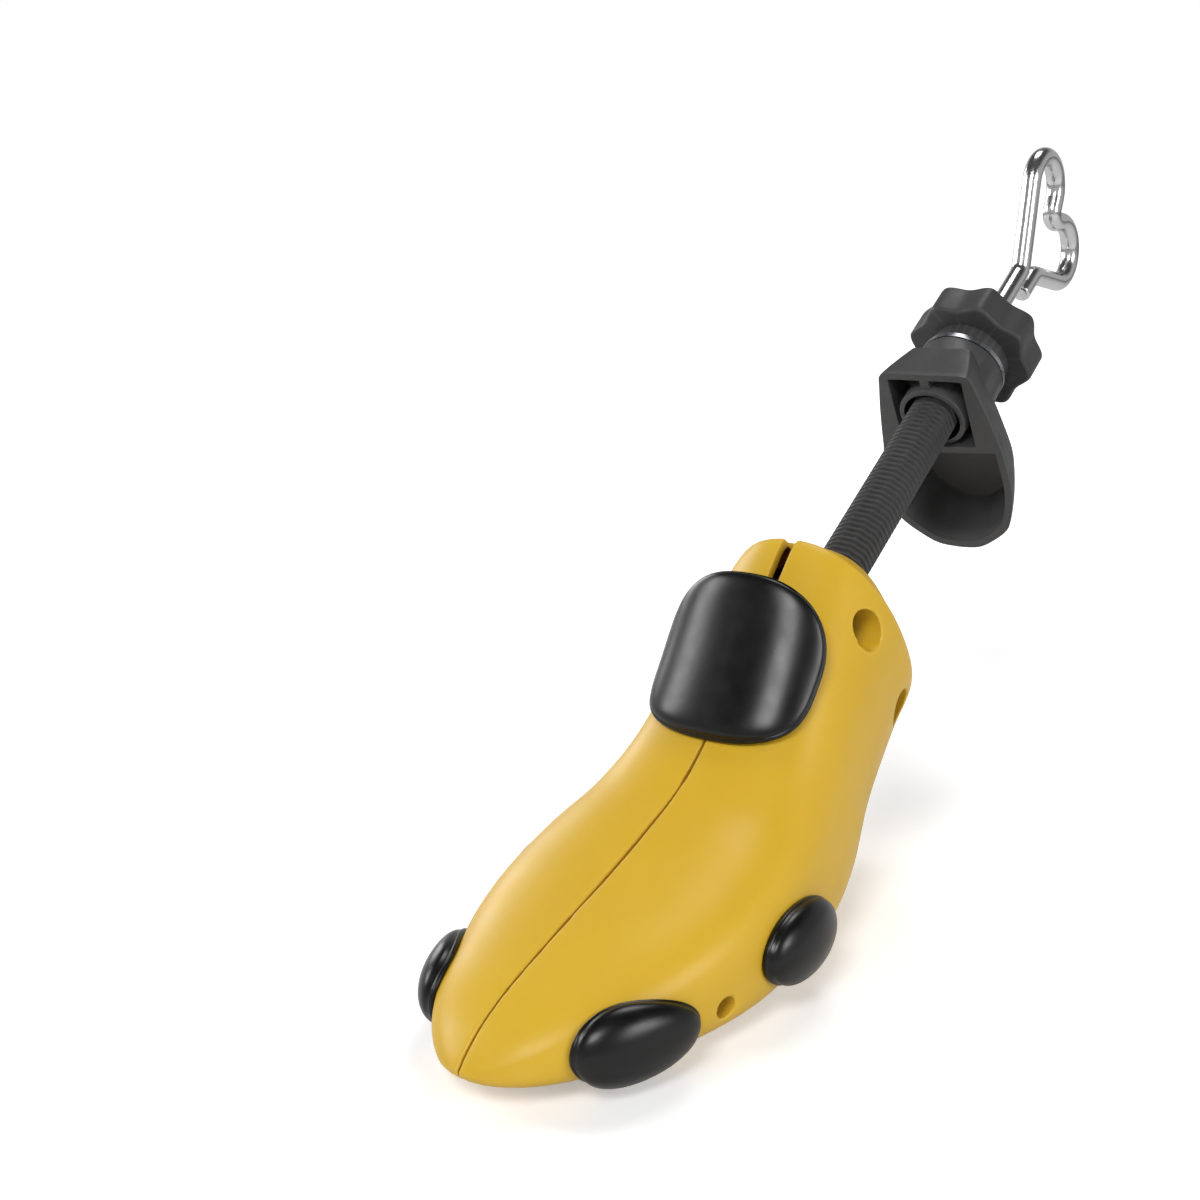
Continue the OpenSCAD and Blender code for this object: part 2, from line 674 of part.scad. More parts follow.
// One layer of the heel block at a share of its depth
function heel_ring(k, inset) =
    let (
        half = [for (j = [0 : heel_steps]) heel_key(12 * j / heel_steps)],
        keep = 1 - 0.32 * pow(max(k, 0), 1.3),
        line = [for (m = [1, -1]) for (j = [0 : heel_steps - (m > 0 ? 0 : 1)])
            let (q = m > 0 ? half[j] : half[heel_steps - j]) if (m > 0 || j > 0) [m * q[0], q[1]]],
        tall = (heel_up + heel_down)
    )
    [for (q = line) let (
        x = q[0] * keep * (1 - inset / heel_wide_half),
        h = heel_mid + (q[1] - heel_mid) * (1 - 2 * inset / tall) * (q[1] > heel_mid ? 1 - 0.03 * k : 1 - 0.16 * k)
    ) [x, heel_at + k * heel_depth - (1 - k) * lookup(q[1], [for (i = [4 : -1 : 0]) heel_lean[i]]), h]];
heel_mid = -16;
module heel_loft(inset, from, to) {
    layers = 6;
    rings = [for (i = [0 : layers]) heel_ring(from + (to - from) * sin(90 * i / layers), inset)];
    m = len(rings[0]);
    points = [for (r = rings) for (p = r) p];
    skin = [for (i = [0 : layers - 1]) for (j = [0 : m - 1])
        let (a = i * m + j, b = i * m + (j + 1) % m)
        each [[a, b + m, b], [a, a + m, b + m]]];
    middle = [for (i = [0, layers]) let (r = rings[i]) [0, r[0][1] / 2 + r[floor(m / 2)][1] / 2, heel_mid]];
    all = concat(points, middle);
    caps = [for (j = [0 : m - 1]) each [
        [len(points), j, (j + 1) % m],
        [len(points) + 1, layers * m + (j + 1) % m, layers * m + j]]];
    polyhedron(all, concat(skin, caps), convexity = 6);
}

hub_front = 1.9;
collar_r = 14;
collar_to = heel_at + 21;
neck_r = 10;
groove_at = heel_at + 16.2;
ring_t = 1.2;

// Heel piece: hollow at the front, rounded at the back, with the tube's hub
module heel_piece() {
    on_rod() difference() {
        union() {
            difference() {
                heel_loft(0, 0, 1);
                difference() {
                    heel_loft(heel_wall, -0.2, 0.8);
                    // Bar under the window, and the rib above the hub
                    translate([-30, heel_at - 20, -12.6]) cube([60, 50, 2.4]);
                    translate([-1.5, heel_at - 20, 0]) cube([3, 50, 30]);
                    for (m = [-1, 1]) translate([m * 24.4 - 12, heel_at - 20, -12.6]) cube([24, 50, 60]);
                    translate([-30, heel_at - 20, 14]) cube([60, 50, 10]);
                }
            }
            along_rod(hub_d / 2, heel_at - hub_front, heel_at + 14);
            along_rod(collar_r, heel_at + 10, collar_to);
        }
        intersection() {
            along_rod(tube_r + run_gap, 0, 200);
            translate([-tube_flats / 2 - run_gap, 0, -50]) cube([tube_flats + 2 * run_gap, 300, 100]);
        }
        along_rod(9.2, 0, heel_at + 1);
        // Seat for the knob's neck, and the groove for its ring
        along_rod(neck_r + side_gap, heel_at + 14.5, 200);
        along_rod(neck_r + 1.4, groove_at - 0.2, groove_at + ring_t + 0.2);
    }
}

knob_at = collar_to + 2;
knob_boss = 5;
knob_boss_r = 13;
knob_edge = 1;
// Knob threaded on the tube, with a neck that turns in the heel piece
module length_knob() {
    hollow = knob_hollow;
    outline = [for (i = [0 : 95])
        let (a = 3.75 * i, r = knob_d / 2 - hollow * pow(0.5 + 0.5 * cos(knob_lobes * a), 1.3))
        [r * cos(a), r * sin(a)]];
    on_rod() difference() {
        union() {
            translate([0, knob_at + knob_boss + knob_t, 0]) rotate([90, 0, 0]) {
                translate([0, 0, knob_edge]) linear_extrude(knob_t - 2 * knob_edge) polygon(outline);
                translate([0, 0, knob_t - knob_edge]) linear_extrude(knob_edge, scale = 0.96) polygon(outline);
                translate([0, 0, knob_edge]) mirror([0, 0, 1]) linear_extrude(knob_edge, scale = 0.94) polygon(outline);
            }
            along_rod(knob_boss_r, knob_at, knob_at + knob_boss + 1);
            along_rod(neck_r, heel_at + 15, knob_at + 1);
        }
        along_rod(tube_r + run_gap, 0, 300);
        difference() {
            along_rod(neck_r + 1, groove_at - 0.2, groove_at + ring_t + 0.2);
            along_rod(neck_r - 1, 0, 200);
        }
    }
}
module knob_washer() {
    on_rod() difference() {
        along_rod(collar_r, collar_to + 0.2, knob_at - 0.2);
        along_rod(neck_r + 0.2, 0, 200);
    }
}
module knob_ring() {
    on_rod() difference() {
        along_rod(neck_r + 1.2, groove_at, groove_at + ring_t);
        along_rod(neck_r - 0.8, 0, 200);
        translate([-3, groove_at - 1, 0]) cube([6, 4, 30]);
    }
}

color(yellow) half_shell();  // half_shell_left
color(yellow) mirror([1, 0, 0]) half_shell();  // half_shell_right
color(black) instep_pad();
color(black) side_pad(toe_peg, toe_pad_size);  // toe_pad_left
color(black) mirror([1, 0, 0]) side_pad(toe_peg, toe_pad_size);  // toe_pad_right
color(black) side_pad(ball_peg, side_pad_size);  // ball_pad_left
color(black) mirror([1, 0, 0]) side_pad(ball_peg, side_pad_size);  // ball_pad_right
color(dark_grey) neck_block();
color(steel) neck_screws();
color(dark_grey) threaded_tube();
color(dark_grey) tube_end_bush();
color(steel) drive_rod();
color(steel) front_collar();
color(steel) rod_clip();
color(brass) thrust_washer();
color(dark_grey) spreader_wedge();
color(brass) spreader_nut();
color(steel) closing_spring();
color(steel) spring_pin();  // spring_pin_left
color(steel) mirror([1, 0, 0]) spring_pin();  // spring_pin_right
color(dark_grey) heel_piece();
color(dark_grey) length_knob();
color(steel) knob_washer();
color(steel) knob_ring();
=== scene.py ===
"""Looks of a two-way shoe stretcher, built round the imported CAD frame.

Lengths are in mm until a mesh is made. The last is laid out by distances forward of its hinge line and
heights above the ground. What sits on the tube is laid out along it, from the hinge line to the handle.
"""
import json
import math

import bmesh
import bpy
import numpy as np
from mathutils import Matrix, Vector


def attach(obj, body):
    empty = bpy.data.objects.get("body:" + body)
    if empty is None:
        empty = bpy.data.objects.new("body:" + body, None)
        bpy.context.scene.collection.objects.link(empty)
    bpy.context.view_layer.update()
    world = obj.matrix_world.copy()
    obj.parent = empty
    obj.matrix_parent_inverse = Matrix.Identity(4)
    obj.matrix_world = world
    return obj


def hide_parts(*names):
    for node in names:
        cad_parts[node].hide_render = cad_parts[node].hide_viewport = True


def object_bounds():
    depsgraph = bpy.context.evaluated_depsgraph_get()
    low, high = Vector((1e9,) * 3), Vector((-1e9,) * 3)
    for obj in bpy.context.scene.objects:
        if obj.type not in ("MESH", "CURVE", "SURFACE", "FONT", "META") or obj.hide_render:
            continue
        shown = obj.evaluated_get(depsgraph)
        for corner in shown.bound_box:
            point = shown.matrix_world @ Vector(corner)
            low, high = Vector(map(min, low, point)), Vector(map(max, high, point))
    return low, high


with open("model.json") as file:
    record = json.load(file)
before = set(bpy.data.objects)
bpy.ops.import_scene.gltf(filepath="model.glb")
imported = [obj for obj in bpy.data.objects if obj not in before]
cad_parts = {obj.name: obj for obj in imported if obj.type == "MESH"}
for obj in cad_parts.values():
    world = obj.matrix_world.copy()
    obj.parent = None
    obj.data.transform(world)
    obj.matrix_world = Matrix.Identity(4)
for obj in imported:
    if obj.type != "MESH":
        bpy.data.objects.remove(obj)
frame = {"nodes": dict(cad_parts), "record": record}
cad_low, cad_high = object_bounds()
nodes = frame["nodes"]

# Sizes shared by several pieces
MM = 0.001
ANGLE = math.radians(31.4)
COS, SIN = math.cos(ANGLE), math.sin(ANGLE)
HINGE_Z = 70.2
ROD_R = 3.1
ROD_FRONT = -108.0
TUBE_R = 7.5
TUBE_FLAT = 7.2
TUBE_FROM, TUBE_TO = 6.0, 125.0
BORE_R = 4.2
RUN_GAP = 0.06
SIDE_GAP = 0.3
SWING = math.radians(4.0)

# The heart's reach, which centres the part on the frame's origin
HEART_AT, HEART_LEN = 169.0, 28.5
LOBE_R, LOBE_OFF = 10.2, 13.0
TOE_REACH = 147.8
HEART_REACH = (HEART_AT + HEART_LEN) * COS + LOBE_OFF * SIN + LOBE_R + ROD_R
HINGE_Y = (TOE_REACH - HEART_REACH) / 2

# Stations of the last from the neck to the toe: forward and up of the sole's point and of the instep's
# point, half width, share of the height where it is widest, exponent above that line and below it
SOLE_CUT = 1.0
BODY = np.array([
    [-28.7, 40.4, 5.3, 99.1, 26, 0.45, 2.3, 2.3],
    [-17.5, 31.0, 15.2, 89.4, 27, 0.48, 2.5, 2.2],
    [0, 14.5, 30.2, 74, 29, 0.5, 2.8, 2.1],
    [14, 2.2, 46.3, 57.5, 32.4, 0.49, 2.9, 2.1],
    [32, -SOLE_CUT, 60, 47.2, 36, 0.46, 3, 2.2],
    [55, -SOLE_CUT, 75, 40.8, 38.7, 0.44, 3.1, 2.5],
    [78, -SOLE_CUT, 92, 34.8, 38.4, 0.42, 3.1, 2.8],
    [98, -SOLE_CUT, 107, 30.2, 34.5, 0.42, 3, 2.7],
    [115, 0.6, 119.2, 26.2, 28.6, 0.42, 2.9, 2.7],
    [128, 2.2, 129.8, 22.5, 23.6, 0.44, 2.8, 2.6],
    [138, 4.2, 139, 18, 16.8, 0.44, 2.6, 2.5],
    [144.5, 6.4, 144.9, 13.5, 9.3, 0.46, 2.3, 2.3],
    [147.5, 8.8, 147.8, 10.5, 3, 0.48, 2, 2],
], float)

# The neck's domed end: how far it stands out, its roundness and its sections' sizes
NECK_DOME = 22.0
DOME_POWER = 1.5
DOME_SHARES = (0.3, 0.55, 0.75, 0.9)


def dome_station(share):
    """Station of the domed end, drawn in to a share of the first one."""
    s = BODY[0]
    back = NECK_DOME * (1 - share ** DOME_POWER)
    mid = np.array([(s[0] + s[2]) / 2, (s[1] + s[3]) / 2])
    shift = back * np.array([-COS, SIN])
    lo = mid + share * (s[0:2] - mid) + shift
    hi = mid + share * (s[2:4] - mid) + shift
    return np.array([*lo, *hi, s[4] * share, s[5], s[6], s[7]])


STATIONS = np.array([dome_station(k) for k in DOME_SHARES] + list(BODY))
LAST = len(STATIONS) - 1


def inset(stations, w):
    """Stations of the surface that lies a wall further in."""
    out = stations.copy()
    along = stations[:, 2:4] - stations[:, 0:2]
    along /= np.linalg.norm(along, axis=1)[:, None]
    out[:, 0:2] += w * along
    out[:, 2:4] -= w * along
    out[:, 4] -= w
    return out


def blend4(a, b, c, d, t):
    """Point between b and c on the smooth curve through all four."""
    return (b + t / 2 * (c - a) + t * t / 2 * (2 * a - 5 * b + 4 * c - d)
            + t ** 3 / 2 * (3 * b - a - 3 * c + d))


def station_at(stations, u):
    """Station at a place between two of them: u counts them from the neck's end."""
    n = len(stations) - 1
    i = min(int(math.floor(u)), n - 1)
    pick = [stations[max(i - 1, 0)], stations[i], stations[i + 1], stations[min(i + 2, n)]]
    return blend4(*pick, u - i)


def section(s, phi):
    """Points of a station's outline: phi in radians, from the sole (-90 deg) to the instep (90 deg)."""
    n = np.where(phi < 0, s[7], s[6])
    side = s[4] * np.maximum(np.cos(phi), 0) ** (2 / n)
    lift = np.abs(np.sin(phi)) ** (2 / n)
    v = np.where(phi < 0, s[5] * (1 - lift), s[5] + (1 - s[5]) * lift)
    d = s[0] + v * (s[2] - s[0])
    z = s[1] + v * (s[3] - s[1])
    return np.stack([side, HINGE_Y - d, np.maximum(z, 0)], axis=-1)


def rod(x, y, z):
    """Frame's point for one that is given across, along and square to the tube."""
    along, up = HINGE_Y + y * COS - z * SIN, HINGE_Z + y * SIN + z * COS
    return np.stack(np.broadcast_arrays(x, along, up), axis=-1)


def to_rod(p):
    """The way back from rod()."""
    y, z = p[..., 1] - HINGE_Y, p[..., 2] - HINGE_Z
    return np.stack([p[..., 0], y * COS + z * SIN, -y * SIN + z * COS], axis=-1)


SIDEWAYS = (1, 0, 0)
SQUARE_UP = (0, -SIN, COS)
BACKWARD = (0, COS, SIN)
ROD_PLACE = Matrix.Translation((0, HINGE_Y * MM, HINGE_Z * MM)) @ Matrix.Rotation(ANGLE, 4, "X")


# Mesh helpers
def circle(sides):
    """Angles of a full turn."""
    return np.linspace(0, 2 * np.pi, sides, endpoint=False)


def mesh_object(name, points, faces):
    """New object from points in mm."""
    mesh = bpy.data.meshes.new(name)
    places = [tuple(float(c) * MM for c in p) for p in points]
    mesh.from_pydata(places, [], [tuple(map(int, f)) for f in faces])
    mesh.validate()
    obj = bpy.data.objects.new(name, mesh)
    bpy.context.scene.collection.objects.link(obj)
    return obj


def outward(obj):
    """Turns all faces outwards."""
    bm = bmesh.new()
    bm.from_mesh(obj.data)
    bmesh.ops.recalc_face_normals(bm, faces=bm.faces)
    bm.to_mesh(obj.data)
    bm.free()
    return obj


def grid_faces(rows, columns, wrap=False):
    """Quads between closed rows of points; wrap joins the last row to the first as well."""
    faces = []
    for i in range(rows if wrap else rows - 1):
        a, b = i * columns, (i + 1) % rows * columns
        for j in range(columns):
            k = (j + 1) % columns
            faces.append((a + j, a + k, b + k, b + j))
    return faces


def loft(name, rings):
    """Closed rings of equal length joined into one closed surface, with a fan at each end."""
    rings = [np.asarray(r, float) for r in rings]
    m = len(rings[0])
    points = np.concatenate(rings + [[rings[0].mean(0)], [rings[-1].mean(0)]])
    low, high = len(points) - 2, len(points) - 1
    base = (len(rings) - 1) * m
    faces = grid_faces(len(rings), m)
    faces += [(low, (j + 1) % m, j) for j in range(m)]
    faces += [(high, base + j, base + (j + 1) % m) for j in range(m)]
    return outward(mesh_object(name, points, faces))


def on_rod(obj):
    """Moves a mesh that was made in the tube's own axes to its place."""
    obj.data.transform(ROD_PLACE)
    return obj


def lathe(name, profile, sides=96, close=False):
    """Body of revolution about the rod from (place, radius) pairs: a capped line, or a closed loop."""
    a = circle(sides)
    rings = [np.stack([r * np.cos(a), np.full(sides, y), r * np.sin(a)], axis=-1) for y, r in profile]
    faces = grid_faces(len(rings), sides, close)
    if not close:
        base = (len(rings) - 1) * sides
        faces += [tuple(range(sides)), tuple(range(base, base + sides))]
    return on_rod(outward(mesh_object(name, np.concatenate(rings), faces)))


def ring_bar(name, r, start, end, lip):
    """Round bar along the rod with softened ends."""
    step, axis_r = lip * 0.3, 0.01
    front = [(start, axis_r), (start, r - lip), (start + step, r - step), (start + lip, r)]
    back = [(end - lip, r), (end - step, r - step), (end, r - lip), (end, axis_r)]
    return lathe(name, front + back)


def prism(name, outline, low, high):
    """Prism with its outline in XY and its height along Z."""
    m = len(outline)
    points = [(x, y, low) for x, y in outline] + [(x, y, high) for x, y in outline]
    faces = [tuple(range(m))[::-1], tuple(range(m, 2 * m))]
    faces += [(i, (i + 1) % m, m + (i + 1) % m, m + i) for i in range(m)]
    return outward(mesh_object(name, points, faces))


def box(name, lo, hi):
    """Box between two corners."""
    return prism(name, [(lo[0], lo[1]), (hi[0], lo[1]), (hi[0], hi[1]), (lo[0], hi[1])], lo[2], hi[2])


def cylinder(name, r, base, axis, length, sides=48):
    """Cylinder from a base point along an axis."""
    a = circle(sides)
    obj = prism(name, np.stack([r * np.cos(a), r * np.sin(a)], axis=-1), 0, length)
    turn = Vector(axis).to_track_quat("Z", "Y").to_matrix().to_4x4()
    obj.data.transform(Matrix.Translation(Vector(base) * MM) @ turn)
    return obj


def boolean(obj, other, kind="DIFFERENCE"):
    """Applies one exact boolean and removes the other object."""
    modifier = obj.modifiers.new("cut", "BOOLEAN")
    modifier.operation = kind
    modifier.solver = "EXACT"
    modifier.object = other
    graph = bpy.context.evaluated_depsgraph_get()
    graph.update()
    made = bpy.data.meshes.new_from_object(obj.evaluated_get(graph))
    obj.modifiers.clear()
    old = obj.data
    obj.data = made
    bpy.data.meshes.remove(old)
    bpy.data.objects.remove(other)
    return obj


def smooth(obj, degrees):
    """Shades smooth, apart from edges that are sharper than the angle."""
    mesh = obj.data
    mesh.polygons.foreach_set("use_smooth", [True] * len(mesh.polygons))
    mesh.set_sharp_from_angle(angle=math.radians(degrees))
    return obj


def mirrored(obj, name):
    """Copy of an object on the other side of the middle plane."""
    mesh = obj.data.copy()
    mesh.transform(Matrix.Diagonal((-1, 1, 1, 1)))
    mesh.flip_normals()
    copy = bpy.data.objects.new(name, mesh)
    bpy.context.scene.collection.objects.link(copy)
    return copy


# Materials
class Nodes:
    """Makes nodes in a tree and feeds them with values or with other nodes' outputs."""

    def __init__(self, tree):
        self.tree = tree

    def feed(self, node, inputs):
        for key, value in inputs.items():
            if isinstance(value, bpy.types.NodeSocket):
                self.tree.links.new(value, node.inputs[key])
            else:
                node.inputs[key].default_value = value

    def node(self, kind, inputs=None, **settings):
        made = self.tree.nodes.new(kind)
        for key, value in settings.items():
            setattr(made, key, value)
        self.feed(made, inputs or {})
        return made

    def ramp(self, value, low, high, a, b, **settings):
        """Maps value between low and high to the range a..b."""
        inputs = {"Value": value, "From Min": low, "From Max": high, "To Min": a, "To Max": b}
        return self.node("ShaderNodeMapRange", inputs, **settings).outputs["Result"]


class Shader(Nodes):
    """One procedural material."""

    def __init__(self, name, **settings):
        self.material = bpy.data.materials.new(name)
        self.material.use_nodes = True
        super().__init__(self.material.node_tree)
        self.bsdf = self.tree.nodes["Principled BSDF"]
        self.set(**settings)
        self.where = self.node("ShaderNodeTexCoord").outputs["Object"]

    def set(self, **settings):
        """Feeds inputs of the material's surface, with an underscore for each space in their names."""
        self.feed(self.bsdf, {key.replace("_", " "): value for key, value in settings.items()})

    def noise(self, scale, detail, roughness=0.55, vector=None):
        inputs = {"Vector": vector or self.where, "Scale": scale, "Detail": detail, "Roughness": roughness}
        return self.node("ShaderNodeTexNoise", inputs).outputs["Fac"]

    def mix(self, factor, a, b):
        return self.node("ShaderNodeMix", {0: factor, 6: a, 7: b}, data_type="RGBA").outputs[2]

    def mottle(self, scale, detail, dark, light):
        """Two tones in soft patches."""
        return self.mix(self.ramp(self.noise(scale, detail), 0.3, 0.7, 0, 1), dark, light)

    def paint_edge_highlight(self, tone, highlight_tone, start, end, most):
        """Tone that pales on sharp edges: a painted highlight where edges catch the light."""
        edge = self.node("ShaderNodeNewGeometry").outputs["Pointiness"]
        return self.mix(self.ramp(edge, start, end, 0, most), tone, highlight_tone)

    def vary(self, value, low, high):
        """Spreads a noise over a range of values."""
        return self.ramp(value, 0.25, 0.75, low, high)

    def bump(self, height, strength, distance, **under):
        inputs = {"Height": height, "Strength": strength, "Distance": distance, **under}
        return self.node("ShaderNodeBump", inputs).outputs["Normal"]


def linear(r, g, b):
    """Linear colour from one that is written as it shows, from 0 to 255."""
    def one(c):
        c /= 255
        return c / 12.92 if c <= 0.04045 else ((c + 0.055) / 1.055) ** 2.4
    return (one(r), one(g), one(b), 1)


def yellow_plastic():
    s = Shader("yellow_plastic", IOR=1.46, Specular_IOR_Level=0.45, Subsurface_Weight=0.08,
               Subsurface_Scale=0.004)
    tone = s.mottle(22, 2, linear(208, 166, 36), linear(214, 173, 42))
    waves = s.bump(s.noise(260, 2), 0.06, 0.0004)
    # Sharp edges pale to a painted highlight, not the plastic's own colour.
    s.set(Base_Color=s.paint_edge_highlight(tone, linear(222, 184, 76), 0.5, 0.56, 0.35),
          Roughness=s.vary(s.noise(140, 3), 0.36, 0.46),
          Normal=s.bump(s.noise(900, 4, 0.6), 0.1, 0.0002, Normal=waves))
    return s.material


def black_pad():
    s = Shader("black_pad", IOR=1.5, Specular_IOR_Level=0.42)
    s.set(Base_Color=s.mottle(60, 3, linear(3, 3, 3), linear(6, 6, 6)),
          Roughness=s.vary(s.noise(240, 4), 0.27, 0.34),
          Normal=s.bump(s.noise(700, 3), 0.04, 0.0001))
    return s.material


def dark_plastic():
    s = Shader("dark_plastic", IOR=1.46)
    tone = s.mottle(45, 3, linear(51, 51, 52), linear(57, 57, 58))
    # Sharp edges pale to a painted highlight, not the plastic's own colour.
    s.set(Base_Color=s.paint_edge_highlight(tone, linear(76, 76, 77), 0.52, 0.62, 0.5),
          Roughness=s.vary(s.noise(220, 4), 0.44, 0.58),
          Normal=s.bump(s.noise(1300, 4, 0.65), 0.16, 0.0003))
    return s.material


def metal(name, tone, rough, scratch):
    """Metal with fine scratches that run along the object."""
    s = Shader(name, Metallic=1.0)
    stretched = s.node("ShaderNodeMapping", {"Vector": s.where, "Scale": (1400, 60, 1400)}).outputs["Vector"]
    lines = s.noise(1, 2, 0.5, stretched)
    lighter = tuple(min(1, c * 1.08) for c in tone[:3]) + (1,)
    s.set(Base_Color=s.mottle(120, 3, tone, lighter),
          Roughness=s.vary(lines, rough * 0.8, rough * 1.3),
          Normal=s.bump(lines, scratch, 0.0001))
    return s.material


MATERIALS = {
    "yellow_plastic": yellow_plastic(),
    "black_pad": black_pad(),
    "dark_plastic": dark_plastic(),
    "chrome_steel": metal("chrome_steel", linear(205, 205, 205), 0.2, 0.05),
    "zinc_steel": metal("zinc_steel", linear(182, 184, 188), 0.3, 0.12),
    "brass": metal("brass", linear(206, 172, 96), 0.3, 0.1),
}


def dress(obj, slot, body, *replaced, degrees=32):
    obj.data.materials.clear()
    obj.data.materials.append(MATERIALS[slot])
    smooth(obj, degrees)
    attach(obj, body)
    if replaced:
        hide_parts(*replaced)
    return obj


slots = {p["node"]: p["material_slot"] for p in frame["record"]["subparts"]}
for name, obj in nodes.items():
    if name not in slots:
        continue
    for place in obj.material_slots:
        place.material = MATERIALS[slots[name]]

# The last: wall, neck slot, screws, block, wedge's ramps, spring and pegs
WALL = 3.0
HOLLOW_FROM, HOLLOW_TO = 1.6, LAST - 1.35
SEAM_HALF = 0.25
NECK_SLOT = 1.8
SLOT_AT = (-38, 0, 45)
SLOT_HALF = (SEAM_HALF, NECK_SLOT, NECK_SLOT + 0.6)
LIP = 0.7
OUTSIDE_POINTS = 72
NECK_BACK = 30.0
TUBE_ROOM_R = TUBE_R + NECK_BACK * math.sin(SWING) + SIDE_GAP
TUBE_ROOM_TO = 60.0
ROD_ROOM_R = ROD_R + 0.6
ROD_ROOM_FROM = ROD_FRONT - 4

SCREWS = (8.0, -24.0)
CLEARANCE_R = 4.8 / 2 + 0.6
COUNTER_R = 5.6
HEAD_SEAT = 14.0
BOSS_R = COUNTER_R + 2.4
BLOCK_HALF = 9.0
BLOCK_LOW, BLOCK_HIGH = (0, -11.5, -33), (BLOCK_HALF, 12, 15)
ROOM_BELOW, ROOM_ABOVE = (0, 1, 1), (0.25, 1.5, 1)
RIB_R = 1.5
RIB_OVER = 0.5

SPREADER_AT, SPREADER_HALF, SPREADER_TRAVEL = 92.0, 9.0, 18.0
RAMP_REACH, RAMP_UP, RAMP_T = 12.0, 6.0, 3.0

SPRING_AT = -117.0
SPRING_ROOM = (5.0, 2.2)
PIN_X, PIN_R, PIN_HALF = 15.0, 1.2, 7.0
HOOK_R = 2.55
POST_FROM, POST_HALF, POST_UP = 11.7, 4.0, 5.0

SITES = {"toe": (118.5, 12.5), "ball": (67.0, 17.5), "spare": (94.5, 11.5)}
PEG_HOLE_R = 2.8
PEG_BOSS_R = PEG_HOLE_R + 2
PEG_BOSS_IN = 12.0
PEG_OVER = 6.0
STEM_BACK, STEM_FROM = 7.0, 7.0

# How far cutters reach past the surface of the last, and the softened mouths of its holes
OUTWARDS = 40.0
MOUTH_LIP = 0.6
MOUTH_INSIDE = 3.5
MOUTH_OUT = 16.0


def slot_half(y):
    """Half of the gap between the halves at a distance behind the hinge line."""
    return np.interp(y, SLOT_AT, SLOT_HALF)


def resample(points, n):
    """n points at equal steps along a polyline."""
    step = np.linalg.norm(np.diff(points, axis=0), axis=1)
    at = np.concatenate([[0], np.cumsum(step)])
    want = np.linspace(0, at[-1], n)
    return np.stack([np.interp(want, at, points[:, k]) for k in range(3)], axis=-1)


def half_ring(s):
    """Closed ring of one half: the outside, rolled edges at the seam, and the seam face."""
    p = section(s, np.radians(np.linspace(-90, 90, 1441)))
    up = p[-1] - p[0]
    up /= np.linalg.norm(up)
    lip = min(LIP, s[4] * 0.2)
    low, high = (float(slot_half(to_rod(p[i])[1])) for i in (0, -1))
    middle = len(p) // 2
    below = p[:middle][p[:middle, 0] > low + lip]
    above = p[middle:][p[middle:, 0] > high + lip]
    outside = resample(np.concatenate([below, above]), OUTSIDE_POINTS)
    turn = np.radians(np.linspace(15, 90, 6))[:, None]
    inward = np.array([lip, 0, 0]) * np.sin(turn)
    drop = up * lip * (1 - np.cos(turn))
    top = outside[-1] - inward - drop
    bottom = outside[0] - inward + drop
    face = np.linspace(top[-1], bottom[-1], 10)[1:-1]
    face[:, 0] = slot_half(to_rod(face)[:, 1])
    return np.concatenate([outside, top, face, bottom[::-1]])


def outer_half():
    """Outside of one half, with more sections where the form turns quickly."""
    u = []
    for i in range(LAST):
        n = 7 if 3 < i < 13 else 9
        u += list(i + np.arange(n) / n)
    u.append(LAST)
    return loft("last_left", [half_ring(station_at(STATIONS, k)) for k in u])


def cavity_half():
    """Hollow of one half, from behind the middle plane out to the wall."""
    inner = inset(STATIONS, WALL)
    rings = []
    for k in np.linspace(HOLLOW_FROM, HOLLOW_TO, 60):
        p = section(station_at(inner, k), np.radians(np.linspace(-90, 90, 37)))
        face = np.linspace(p[-1], p[0], 8)
        face[:, 0] = -2
        p[:, 0] = np.maximum(p[:, 0], 0)
        rings.append(np.concatenate([p, face]))
    return loft("cavity", rings)


def station_for(d, z):
    """Place of the station whose line from sole to instep runs through a point."""
    a, b = 0.0, float(LAST)
    for _ in range(26):
        u = (a + b) / 2
        s = station_at(STATIONS, u)
        at = s[0] + (z - s[1]) / (s[3] - s[1]) * (s[2] - s[0])
        a, b = (u, b) if at < d else (a, u)
    return (a + b) / 2


def surface_at(d, z):
    """Half width of the last at a distance forward of the hinge line and a height."""
    s = station_at(STATIONS, station_for(d, z))
    v = (z - s[1]) / (s[3] - s[1])
    n = s[7] if v < s[5] else s[6]
    lift = 1 - v / s[5] if v < s[5] else (v - s[5]) / (1 - s[5])
    return s[4] * max(1 - min(abs(lift), 1) ** n, 0) ** (1 / n)


def off_surface(d, z, h):
    """Point that stands a height off the last's side."""
    fd = surface_at(d + 0.5, z) - surface_at(d - 0.5, z)
    fz = surface_at(d, z + 0.5) - surface_at(d, z - 0.5)
    n = np.array([1, fd, -fz]) / math.sqrt(1 + fd * fd + fz * fz)
    return np.array([surface_at(d, z), HINGE_Y - d, z]) + h * n


def ramp_outline():
    """Outline of a ramp plate, worked out from the wedge corner's path as the half swings."""
    points = []
    for p in np.linspace(-RAMP_REACH, SPREADER_TRAVEL + 1, 11):
        a = SWING / SPREADER_TRAVEL * p
        dx, ds = SPREADER_HALF + SIDE_GAP - BLOCK_HALF, SPREADER_AT - p
        aside = BLOCK_HALF + dx * math.cos(a) - ds * math.sin(a)
        points.append((aside, -(ds * math.cos(a) + dx * math.sin(a))))
    return points + [(OUTWARDS, points[-1][1]), (OUTWARDS, points[0][1])]


